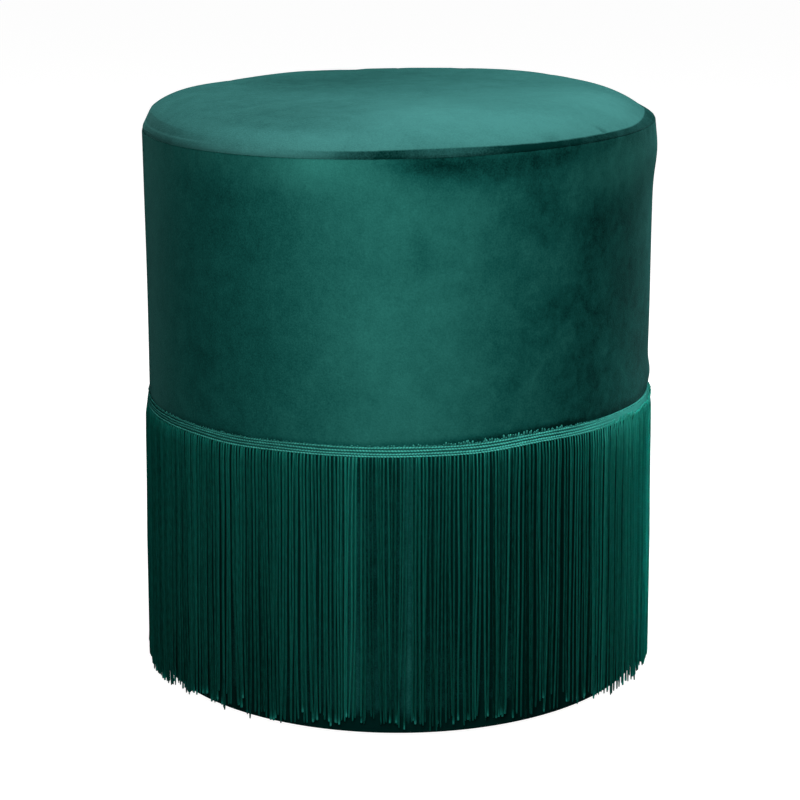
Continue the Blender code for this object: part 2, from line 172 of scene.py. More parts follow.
class StoolSizes(PropertyGroup):
    """Sizes of the covers, the braid and the fringe."""

    body_radius: FloatProperty(
        name="Body radius", description="Outside radius of the velvet on the drum",
        default=SIDE_HIGH.x, min=0.05, unit="LENGTH")
    seam_height: FloatProperty(
        name="Seam height", description="Height of the seam between the seat panel and the side band",
        default=SIDE_HIGH.z + 0.0011, min=0.1, unit="LENGTH")
    crown_rise: FloatProperty(
        name="Crown rise", description="Height of the crowned seat above the seam",
        default=SEAT_HIGH.z - SIDE_HIGH.z - 0.0011, min=0.0, unit="LENGTH")
    crown_flatness: FloatProperty(
        name="Crown flatness", description="Power that keeps the middle of the seat flat",
        default=6.0, min=2.0)
    crown_roundness: FloatProperty(
        name="Crown roundness", description="Power that rounds the edge of the seat",
        default=1.5, min=1.0)
    seat_slope: FloatProperty(
        name="Seat slope", description="Rise of the seam towards the right, per unit of width",
        default=0.0205)
    heading_slope: FloatProperty(
        name="Heading slope", description="Rise of the braid towards the right, per unit of width",
        default=0.0190)
    velvet_thickness: FloatProperty(
        name="Velvet thickness", description="Thickness of the velvet with its pile",
        default=0.0015, min=0.0005, unit="LENGTH")
    seam_groove: FloatProperty(
        name="Seam groove", description="Depth that the seam pulls the velvet in",
        default=0.0005, min=0.0, unit="LENGTH")
    seam_allowance: FloatProperty(
        name="Seam allowance", description="Width of the seat panel turned down inside the band",
        default=SIDE_HIGH.z - SEAT_LOW.z, min=0.002, unit="LENGTH")
    hem_radius: FloatProperty(
        name="Hem radius", description="Inside radius of the hem under the base",
        default=0.145, min=0.02, unit="LENGTH")
    hem_bend: FloatProperty(
        name="Hem bend", description="Outside radius of the bend into the hem",
        default=0.002, min=0.0005, unit="LENGTH")
    hem_roll: FloatProperty(
        name="Hem roll", description="How far the velvet's edge rolls below the base",
        default=0.0012, min=0.0, unit="LENGTH")
    cord_radius: FloatProperty(
        name="Cord radius", description="Outside radius of one ply of the heading's chain stitches",
        default=0.00050, min=0.0002, unit="LENGTH")
    stitch_length: FloatProperty(
        name="Stitch length", description="Length of one ply of the heading's chain stitches",
        default=0.0020, min=0.0005, unit="LENGTH")
    picot_pitch: FloatProperty(
        name="Picot pitch", description="Distance between the loops on the heading's top edge",
        default=0.0016, min=0.0005, unit="LENGTH")
    strand_count: IntProperty(
        name="Fringe strands", description="Strands in the fringe's front layer", default=450, min=12)
    strand_radius: FloatProperty(
        name="Strand radius", description="Radius of one strand of the fringe",
        default=0.00065, min=0.0002, unit="LENGTH")
    fringe_flare: FloatProperty(
        name="Fringe flare", description="How far the tips stand out from the heading",
        default=0.0042, min=0.0, unit="LENGTH")
    tip_height: FloatProperty(
        name="Tip height", description="Mean height of the fringe's tips above the floor",
        default=0.0138, min=0.0, unit="LENGTH")
    staple_count: IntProperty(
        name="Staples", description="Staples that hold the dust cover", default=28, min=4)


class StoolColours(PropertyGroup):
    """Colours of the finishes, as linear light."""

    # The velvet colours span how the pile lies; the nap layer also uses them for painted light and shade.
    velvet_dark: FloatVectorProperty(
        name="Velvet, nap away", description="Velvet where the pile leans away",
        subtype="COLOR", size=4, min=0, max=1, default=(0.0007, 0.020, 0.0175, 1))
    velvet_middle: FloatVectorProperty(
        name="Velvet, nap upright", description="Velvet where the pile stands up",
        subtype="COLOR", size=4, min=0, max=1, default=(0.0062, 0.080, 0.070, 1))
    velvet_light: FloatVectorProperty(
        name="Velvet, nap towards", description="Velvet where the pile leans towards the viewer",
        subtype="COLOR", size=4, min=0, max=1, default=(0.030, 0.207, 0.178, 1))
    # Both seat colours are lighter and greyer than the side's: the velvet with a painted sheen for the pile
    # seen across the seat.
    velvet_seat_with_painted_sheen: FloatVectorProperty(
        name="Velvet on the seat", description="Velvet of the seat where the pile leans towards the viewer",
        subtype="COLOR", size=4, min=0, max=1, default=(0.048, 0.198, 0.187, 1))
    velvet_seat_middle: FloatVectorProperty(
        name="Velvet on the seat, upright", description="Velvet of the seat where the pile stands up",
        subtype="COLOR", size=4, min=0, max=1, default=(0.0150, 0.082, 0.077, 1))
    # Yarn colours, darkest to lightest: the dark end also gives painted shade on the back layer, and the
    # brightest is painted light.
    yarn_dark: FloatVectorProperty(
        name="Yarn, dark", description="Darkest strands of the fringe",
        subtype="COLOR", size=4, min=0, max=1, default=(0.0002, 0.0100, 0.0075, 1))
    yarn_light: FloatVectorProperty(
        name="Yarn, light", description="Lightest strands of the fringe",
        subtype="COLOR", size=4, min=0, max=1, default=(0.0085, 0.150, 0.120, 1))
    yarn_painted_light: FloatVectorProperty(
        name="Yarn, bright", description="Strands where they come out of the heading",
        subtype="COLOR", size=4, min=0, max=1, default=(0.030, 0.360, 0.295, 1))
    # The dark braid colour is the tape's and the painted shade in the hollows; the light one is the cords'
    # with their painted highlights.
    braid_dark_and_shade: FloatVectorProperty(
        name="Braid, dark", description="Tape and hollows of the heading",
        subtype="COLOR", size=4, min=0, max=1, default=(0.0004, 0.012, 0.0095, 1))
    braid_light_and_highlight: FloatVectorProperty(
        name="Braid, light", description="Shiny cords of the heading",
        subtype="COLOR", size=4, min=0, max=1, default=(0.090, 0.640, 0.550, 1))


def ripples(angle, seed, cycles, height=0.0, lean=0.0):
    """Seeded waves round the drum, mostly within -1 to 1, that may lean with height."""
    random = np.random.default_rng(seed)
    total = 0.0
    for cycle in cycles:
        start, slope = random.uniform(0, TURN), random.uniform(-lean, lean)
        total = total + np.sin(cycle * angle + slope * height + start)
    return total / math.sqrt(len(cycles))


def smooth_step(value, low, high):
    """0 below low, 1 above high, smooth between."""
    share = np.clip((value - low) / (high - low), 0, 1)
    return share * share * (3 - 2 * share)


def bell(value, middle, width):
    """1 at the middle, falling smoothly to nearly 0 at twice that width from it."""
    return np.exp(-((value - middle) / width) ** 2)


def turned_right(around, low, high):
    """0 to 1 across those degrees to the right of the front, and back to 0 behind the stool."""
    return smooth_step(around, low, high) * (1 - smooth_step(around, 105, 165))


def ring_point(radius, angle, height):
    """Points from radius, angle and height."""
    radius, angle, height = np.broadcast_arrays(radius, angle, height)
    return np.stack([radius * np.cos(angle), radius * np.sin(angle), height], axis=-1)


def grid_quads(rows, columns, close_rows=False):
    """Quads of a grid that closes round its columns, and round its rows where asked."""
    index = np.arange(rows * columns).reshape(rows, columns)
    below = index if close_rows else index[:-1]
    above = np.roll(index, -1, axis=0) if close_rows else index[1:]
    quads = np.stack([below, np.roll(below, -1, 1), np.roll(above, -1, 1), above], axis=-1)
    return quads.reshape(-1, 4)


def outward(points, quads):
    """The quads with their order turned where the closed form they make is inside out."""
    a, b, c, d = (points[quads[:, corner]] for corner in range(4))
    volume = np.einsum("ij,ij->i", a, np.cross(b, c)) + np.einsum("ij,ij->i", a, np.cross(c, d))
    return quads if volume.sum() > 0 else quads[:, ::-1]


def ring_faces(points):
    """Faces of a grid of points that closes round its rows and its columns."""
    return outward(points.reshape(-1, 3), grid_quads(*points.shape[:2], True)).tolist()


def lathe_faces(points):
    """Faces of a grid of points that closes round its columns, with a cap on its first and last row."""
    rows, count = points.shape[:2]
    quads = outward(points.reshape(-1, 3), grid_quads(rows, count))
    first = list(range(count))
    last = list(range((rows - 1) * count, rows * count))
    caps = [first[::-1], last] if quads[0, 0] == 0 else [first, last[::-1]]
    return [*quads.tolist(), *caps]


def as_columns(table):
    """The columns of a table, each as a column of numbers."""
    return [np.array(column)[:, None] for column in zip(*table)]


def sweep(paths, normals, radii, sides):
    """Rings of points of many tubes along their paths; radii may differ by tube, ring and side."""
    along = np.gradient(paths, axis=1)
    along /= np.linalg.norm(along, axis=2, keepdims=True)
    out = normals - np.sum(normals * along, axis=2, keepdims=True) * along
    out /= np.linalg.norm(out, axis=2, keepdims=True)
    across = np.cross(along, out)
    turn = TURN * np.arange(sides) / sides
    ring = out[:, :, None] * np.cos(turn)[:, None] + across[:, :, None] * np.sin(turn)[:, None]
    return paths[:, :, None] + ring * radii[..., None]


def tube_faces(tubes, rings, sides):
    """Quads and end caps of tubes whose rings follow one another."""
    index = np.arange(tubes * rings * sides).reshape(tubes, rings, sides)
    near, far = index[:, :-1], index[:, 1:]
    quads = np.stack([near, np.roll(near, -1, 2), np.roll(far, -1, 2), far], axis=-1).reshape(-1, 4)
    return quads, np.concatenate([index[:, 0, ::-1], index[:, -1]])


def add_piece(name, points, faces, finish, nodes=(), layers=None, uvs=None):
    """One smooth-shaded piece that rides on the stool and stands for the named nodes."""
    mesh = bpy.data.meshes.new(name)
    mesh.from_pydata(points.reshape(-1, 3).tolist(), [], faces)
    if mesh.validate():
        raise RuntimeError(f"{name} has faces that can't stand")
    for layer, values in (layers or {}).items():
        attribute = mesh.attributes.new(layer, "FLOAT", "POINT")
        attribute.data.foreach_set("value", np.ascontiguousarray(values, np.float32).ravel())
    if uvs is not None:
        layer = mesh.uv_layers.new(name="yarn")
        layer.data.foreach_set("uv", np.ascontiguousarray(uvs, np.float32).ravel())
    mesh.shade_smooth()
    mesh.materials.append(finish)
    piece = bpy.data.objects.new(name, mesh)
    bpy.context.scene.collection.objects.link(piece)
    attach(piece, "root")
    if nodes:
        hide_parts(*nodes)
    return piece


def new_finish(name):
    """A node material and a function that adds a node to it, or None where the material is made already."""
    finish = bpy.data.materials.get(name)
    if finish is not None:
        return finish, None
    finish = bpy.data.materials.new(name)
    finish.use_nodes = True
    tree = finish.node_tree
    shader = tree.nodes["Principled BSDF"]

    def node(kind, inputs=None, **settings):
        added = tree.nodes.new(kind)
        for setting, value in settings.items():
            setattr(added, setting, value)
        for socket, value in (inputs or {}).items():
            if isinstance(value, bpy.types.NodeSocket):
                tree.links.new(value, added.inputs[socket])
            else:
                added.inputs[socket].default_value = value
        return added

    def connect(value, socket):
        tree.links.new(value, shader.inputs[socket])

    def put(**values):
        for socket, value in values.items():
            shader.inputs[socket.replace("_", " ")].default_value = value

    node.connect, node.put, node.shader = connect, put, shader
    return finish, node


def math_node(node, operation, first, second=0.0, clamp=False):
    """Output of a math node on two sockets or numbers."""
    return node("ShaderNodeMath", {0: first, 1: second}, operation=operation, use_clamp=clamp).outputs[0]


def mix_colour(node, share, first, second):
    """Output of a colour mix."""
    mixed = node("ShaderNodeMix", {0: share, 6: first, 7: second}, data_type="RGBA", blend_type="MIX")
    return mixed.outputs[2]


def noise(node, place, scale, detail=2.0, roughness=0.5, distortion=0.0):
    """Noise value, about 0 to 1, at so many bumps per metre."""
    return node("ShaderNodeTexNoise", {
        "Vector": place, "Scale": scale, "Detail": detail, "Roughness": roughness,
        "Distortion": distortion}).outputs["Fac"]


def about_middle(node, value, height):
    """A 0 to 1 value spread to that height about 0."""
    spread = node("ShaderNodeMath", {0: value, 1: height, 2: -height / 2}, operation="MULTIPLY_ADD")
    return spread.outputs[0]


def bump(node, height, distance, strength=1.0, below=None):
    """Normal of a bump of that height in metres."""
    inputs = {"Height": height, "Distance": distance, "Strength": strength}
    if below is not None:
        inputs["Normal"] = below
    return node("ShaderNodeBump", inputs).outputs["Normal"]


def velvet_finish(name, dark, middle, light):
    """Cut-pile velvet: brushed nap with painted light and shade from its nap layer, fine pile grain, soft
    sheen.
    """
    finish, node = new_finish(name)
    if node is None:
        return finish
    place = node("ShaderNodeTexCoord").outputs["Object"]
    # The nap layer holds how the pile lies together with painted light and shade.
    nap = node("ShaderNodeAttribute", attribute_name="nap").outputs["Fac"]
    ruffle = node("ShaderNodeAttribute", attribute_name="ruffle").outputs["Fac"]
    brushed = noise(node, place, 24, 4, 0.6, 0.7)
    blotches = noise(node, place, 62, 3, 0.6, 0.5)
    streaks = noise(node, node("ShaderNodeMapping", {
        "Vector": place, "Scale": (1.0, 1.0, 0.8)}).outputs[0], 170, 3, 0.65, 0.4)
    pile = noise(node, place, 900, 2, 0.7)
    rubbed = math_node(node, "ADD", about_middle(node, brushed, 0.34), about_middle(node, blotches, 0.34))
    rubbed = math_node(node, "ADD", rubbed, about_middle(node, streaks, 0.26))
    rubbed = math_node(node, "MULTIPLY", rubbed, ruffle)
    lay = math_node(node, "ADD", math_node(node, "ADD", nap, rubbed), about_middle(node, pile, 0.50), True)
    shades = node("ShaderNodeValToRGB", {"Fac": lay})
    shades.color_ramp.elements[0].color = dark
    shades.color_ramp.elements[1].color = light
    shades.color_ramp.elements.new(0.34).color = middle
    node.connect(shades.outputs["Color"], "Base Color")
    rough = node("ShaderNodeMapRange", {"Value": lay, "To Min": 0.95, "To Max": 0.75})
    node.connect(rough.outputs[0], "Roughness")
    soft = bump(node, brushed, 0.0012, 0.5)
    node.connect(bump(node, pile, 0.0004, 0.7, soft), "Normal")
    node.put(Specular_IOR_Level=0.0, Sheen_Weight=0.12, Sheen_Roughness=0.35,
             Sheen_Tint=(0.30, 0.95, 0.90, 1))
    return finish


def yarn_finish(colours):
    """Silky twisted yarn: each strand a tone of its own with painted light and shade along it, and lighter at
    its frayed tip, partly paler fibres and partly a painted highlight.
    """
    finish, node = new_finish("yarn_finish")
    if node is None:
        return finish
    shade = node("ShaderNodeAttribute", attribute_name="shade").outputs["Fac"]
    tip = node("ShaderNodeAttribute", attribute_name="tip").outputs["Fac"]
    place = node("ShaderNodeTexCoord").outputs["Object"]
    along = node("ShaderNodeUVMap", uv_map="yarn").outputs[0]
    fibres = noise(node, node("ShaderNodeMapping", {
        "Vector": place, "Scale": (1.0, 1.0, 0.12)}).outputs[0], 1500, 2, 0.6)
    plies = node("ShaderNodeTexWave", {
        "Vector": node("ShaderNodeMapping", {"Vector": along, "Scale": (2.0, 900.0, 1.0)}).outputs[0],
        "Scale": 0.318, "Distortion": 0.6, "Detail": 1.0}, wave_type="BANDS", bands_direction="DIAGONAL")
    # The tip layer adds painted light below the heading and the lightness of the frayed ends.
    lit = math_node(node, "ADD", math_node(node, "ADD", shade, about_middle(node, fibres, 0.75)),
                    math_node(node, "MULTIPLY", tip, 0.5))
    shades = node("ShaderNodeValToRGB", {"Fac": math_node(node, "MULTIPLY", lit, 0.6, True)})
    shades.color_ramp.elements[0].color = colours.yarn_dark
    shades.color_ramp.elements[1].color = colours.yarn_painted_light
    shades.color_ramp.elements.new(0.6).color = colours.yarn_light
    node.connect(shades.outputs["Color"], "Base Color")
    rough = node("ShaderNodeMapRange", {"Value": fibres, "To Min": 0.34, "To Max": 0.56})
    node.connect(rough.outputs[0], "Roughness")
    twist = bump(node, plies.outputs["Fac"], 0.0002, 0.28)
    node.connect(bump(node, fibres, 0.0002, 0.5, twist), "Normal")
    node.put(Specular_IOR_Level=0.0, Sheen_Weight=0.10,
             Sheen_Roughness=0.5, Sheen_Tint=(0.03, 0.95, 0.78, 1), Subsurface_Weight=0.5,
             Subsurface_Radius=(0.1, 1.0, 0.75), Subsurface_Scale=0.0012)
    return finish


def braid_finish(colours):
    """Braid with painted light and shade: a painted highlight on the crest of each ply, painted shade in the
    hollows, and the dark tape.
    """
    finish, node = new_finish("braid_finish")
    if node is None:
        return finish
    place = node("ShaderNodeTexCoord").outputs["Object"]
    crest = node("ShaderNodeAttribute", attribute_name="crest").outputs["Fac"]
    fibres = noise(node, place, 1300, 3, 0.65)
    worn = noise(node, place, 60, 3, 0.6)
    tone = math_node(node, "ADD", about_middle(node, fibres, 0.5), about_middle(node, worn, 0.4))
    tone = math_node(node, "ADD", 1.0, tone)
    lit = math_node(node, "MULTIPLY", math_node(node, "MULTIPLY", crest, tone), 0.9, True)
    node.connect(mix_colour(node, lit, colours.braid_dark_and_shade, colours.braid_light_and_highlight), "Base Color")
    rough = node("ShaderNodeMapRange", {"Value": fibres, "To Min": 0.28, "To Max": 0.50})
    node.connect(rough.outputs[0], "Roughness")
    node.connect(bump(node, fibres, 0.0003, 0.6), "Normal")
    node.put(Specular_IOR_Level=0.0)
    return finish


def grain_finish(name, dark, light, stretch, scale, rough, metal=0.0):
    """Timber, board, foam, cloth, plastic or steel: noise drawn out along the grain."""
    finish, node = new_finish(name)
    if node is None:
        return finish
    place = node("ShaderNodeTexCoord").outputs["Object"]
    drawn = node("ShaderNodeMapping", {"Vector": place, "Scale": stretch}).outputs[0]
    coarse = noise(node, drawn, scale, 4, 0.6, 0.8)
    fine = noise(node, drawn, scale * 9, 2, 0.6)
    tone = math_node(node, "ADD", math_node(node, "MULTIPLY", coarse, 0.65),
                     math_node(node, "MULTIPLY", fine, 0.35), True)
    node.connect(mix_colour(node, tone, (*dark, 1), (*light, 1)), "Base Color")
    spread = node("ShaderNodeMapRange", {"Value": tone, "To Min": rough - 0.1, "To Max": rough + 0.1})
    node.connect(spread.outputs[0], "Roughness")
    node.connect(bump(node, fine, 0.0003, 0.5), "Normal")
    node.put(Metallic=metal)
    return finish


def steel_finish():
    """Bright steel of the screws."""
    return grain_finish("screw_finish", (0.50, 0.48, 0.43), (0.74, 0.72, 0.66), EVEN, 380, 0.32, 1.0)


def crown_height(sizes, share):
    """Height of the seat above the seam at a share of its radius."""
    inside = np.clip(1 - share ** sizes.crown_flatness, 0, None)
    return sizes.crown_rise * inside ** (1 / sizes.crown_roundness)


def round_angles(extra=()):
    """Angles round the drum, with more where a joint needs them."""
    return np.sort(np.concatenate([TURN * np.arange(ROUND_STEPS) / ROUND_STEPS - math.pi, np.array(extra)]))


def joint_angles(radius):
    """Angles close by the joint at the back."""
    return BACK + np.array([-2.0, -1.1, -0.5, 0.35, 1.1, 2.0]) * MM / radius


def from_front(angle):
    """Degrees to the right of the front, from -180 to 180."""
    return (np.degrees(angle - FRONT) + 180) % 360 - 180


def heading_lift(angle, sizes):
    """How far the heading rises or dips from level: a slope to the right and a hand-sewn wave."""
    around = from_front(angle)
    wave = 0.42 * ripples(angle, 41, (2, 3, 5, 8, 13)) * MM
    wave = wave + 0.9 * MM * bell(around, 29, 11) - 2.4 * MM * bell(around, 72, 16)
    wave = wave - 2.4 * MM * bell(around, 89, 10)
    return sizes.heading_slope * sizes.body_radius * np.cos(angle) + wave


def sewn_in(angle):
    """How far the heading is drawn into the padding: most at the two sides."""
    return 2.4 * MM * bell(np.abs(from_front(angle)), 100, 18)


class HeadingRows:
    """Rows of the braid: two chain stitches of two slanted plies each, by height above its lower edge."""

    HEIGHTS = (0.0007, 0.0022, 0.0042, 0.0060)
    DRIFTS = (0.10, 0.24, 0.24, 0.12)
    TOP = 0.0066
    FOOT_STANDS = 0.0024
    LEAN = 0.0012

    @classmethod
    def radius(cls, sizes, height):
        """Radius of the tape's face; its top lies against the velvet and its foot stands over the strands."""
        return sizes.body_radius + cls.FOOT_STANDS - cls.LEAN * height / cls.TOP

    @staticmethod
    def flattened(angles):
        """How far the rows are worn flat into the tape, at the right."""
        return turned_right(from_front(angles), 40, 57)

    @staticmethod
    def painted_dimming(angles):
        """How much of its painted light the braid keeps: painted shade at the left, the far right and the
        back.
        """
        around = from_front(angles)
        kept = 0.56 + 0.22 * turned_right(around, -75, -45) + 0.22 * turned_right(around, -28, 0)
        return kept * (1 - 0.42 * turned_right(around, 62, 78))


def side_bulge(angle, height, sizes):
    """How far the side stands out or in: fuller at the right, slow waves, and a dent under the heading."""
    around = from_front(angle)
    right, left = bell(around, 88, 30), bell(around, -92, 26)
    under = sizes.seam_height - height
    full = 2.5 * right * bell(under, 0.019, 0.017)
    slack = -0.3 * right * bell(under, 0.085, 0.035) - 0.5 * left * bell(under, 0, 0.05)
    slow = 0.35 * ripples(angle, 11, (2, 3, 5, 7), height, 30.0)
    over = 1.8 * right ** 2 * bell(height, HEADING_LOW.z + 0.014, 0.008)
    sewn = HEADING_LOW.z + HeadingRows.TOP / 2 + heading_lift(angle, sizes)
    return (full + slack + slow + over) * MM - sewn_in(angle) * bell(height, sewn, 0.005)


def seam_pull(angle, above, sizes):
    """How far the seam draws the velvet in near it, with small puckers along it."""
    groove = np.clip(1 - np.abs(above) / (1.7 * MM), 0, 1) ** 2 * sizes.seam_groove
    groove = groove * (1 - 0.8 * turned_right(from_front(angle), 10, 45))
    puckers = np.clip(ripples(angle, 21, (57, 74, 93, 118)), -0.2, 1.6)
    strength = 0.55 + 0.45 * ripples(angle, 22, (3, 5, 8))
    return groove + 0.22 * MM * puckers * strength * bell(above, 0, 7 * MM)


def seat_puff(east, north):
    """How much higher or lower the seat's filling lies at each place."""
    return sum(rise * np.exp(-((east - right) / wide) ** 2 - ((north - behind) / deep) ** 2)
               for right, behind, wide, deep, rise in SEAT_PUFFS)


class STOOL_OT_stage(Operator):
    """Sets the camera, the pale floor and the soft studio lights"""

    bl_idname = "stool.stage"
    bl_label = "Stage"

    LENS = 96.4
    SENSOR = 36.0
    CAMERA_PLACE = (0.0012, -1.4695, 0.5833)
    CAMERA_DIP = 15.24
    FLOOR_STEPS = 96
    FLOOR_RINGS = (0.6, 2.0, 8.0, 26.0)

    # Each light: name, place, aim, size in metres, power in watts, spread in degrees and colour.
    LIGHTS = (
        ("front_light", (-0.03, -0.72, 0.44), (0, 0, 0.28), (0.22, 0.34), 3.3, 180, (1.0, 0.985, 0.96)),
        ("top_light", (0.40, 0.50, 2.15), (0, 0, 0.40), (1.1, 0.9), 54, 180, (1.0, 1.0, 1.0)),
        ("rim_light", (1.06, 1.26, 0.40), (0, 0, 0.15), (0.4, 0.8), 4.0, 180, (0.97, 1.0, 1.0)),
        ("low_light", (1.00, 0.75, 0.09), (0.1, 0, 0.10), (0.5, 0.10), 0.55, 24, (0.97, 1.0, 1.0)),
        ("left_light", (-1.00, 1.20, 0.40), (0, 0, 0.18), (0.4, 0.8), 3.0, 180, (0.97, 1.0, 1.0)),
    )

    def execute(self, context):
        scene = context.scene
        self.camera(scene)
        self.floor(scene)
        self.world(scene)
        for light in self.LIGHTS:
            self.light(scene, *light)
        return {"FINISHED"}

    def camera(self, scene):
        """Camera in front of the stool and a little above it."""
        camera = bpy.data.objects.new("stage_camera", bpy.data.cameras.new("stage_camera"))
        camera.data.lens = self.LENS
        camera.data.sensor_width = self.SENSOR
        camera.data.clip_end = 60
        camera.location = self.CAMERA_PLACE
        camera.rotation_euler = (math.radians(90 - self.CAMERA_DIP), 0, 0)
        scene.collection.objects.link(camera)
        scene.camera = camera
        scene.view_settings.view_transform = "Standard"

    @staticmethod
    def light(scene, name, place, aim, size, power, spread, colour):
        """One soft light that doesn't show in the picture."""
        lamp = bpy.data.lights.new(name, "AREA")
        lamp.shape = "RECTANGLE"
        lamp.size, lamp.size_y = size
        lamp.energy = power
        lamp.spread = math.radians(spread)
        lamp.color = colour
        light = bpy.data.objects.new(name, lamp)
        light.visible_camera = False
        light.location = place
        light.rotation_euler = (Vector(aim) - Vector(place)).to_track_quat("-Z", "Y").to_euler()
        scene.collection.objects.link(light)

    def floor(self, scene):
        """Wide pale floor that throws little light back up."""
        angles = TURN * np.arange(self.FLOOR_STEPS) / self.FLOOR_STEPS
        points = ring_point(np.array(self.FLOOR_RINGS)[:, None], angles[None], 0.0).reshape(-1, 3)
        quads = grid_quads(len(self.FLOOR_RINGS), self.FLOOR_STEPS)
        mesh = bpy.data.meshes.new("stage_floor")
        mesh.from_pydata(points.tolist(), [], [*quads.tolist(), list(range(self.FLOOR_STEPS))])
        finish, node = new_finish("floor_finish")
        place = node("ShaderNodeTexCoord").outputs["Object"]
        tone = noise(node, place, 3.0, 2, 0.5)
        node.connect(mix_colour(node, tone, (0.26, 0.26, 0.258, 1), (0.28, 0.28, 0.278, 1)), "Base Color")
        node.put(Roughness=0.85, Specular_IOR_Level=0.15, Emission_Color=(1, 1, 1, 1), Emission_Strength=0.96)
        dim = node("ShaderNodeBsdfDiffuse", {"Color": (0.05, 0.05, 0.05, 1)})
        seen = node("ShaderNodeLightPath").outputs["Is Camera Ray"]
        mixed = node("ShaderNodeMixShader", {0: seen, 1: dim.outputs[0], 2: node.shader.outputs[0]})
        output = finish.node_tree.nodes["Material Output"]
        finish.node_tree.links.new(mixed.outputs[0], output.inputs["Surface"])
        mesh.materials.append(finish)
        floor = bpy.data.objects.new("stage_floor", mesh)
        scene.collection.objects.link(floor)

    @staticmethod
    def world(scene):
        """Even white behind the stool and a dim light from all round."""
        world = bpy.data.worlds.new("stage_world")
        world.use_nodes = True
        scene.world = world
        nodes, links = world.node_tree.nodes, world.node_tree.links
        back = nodes["Background"]
        back.inputs["Color"].default_value = (1, 1, 1, 1)
        path = nodes.new("ShaderNodeLightPath")
        level = nodes.new("ShaderNodeMapRange")
        level.inputs["To Min"].default_value = 0.06
        level.inputs["To Max"].default_value = 1.0
        links.new(path.outputs["Is Camera Ray"], level.inputs["Value"])
        links.new(level.outputs[0], back.inputs["Strength"])


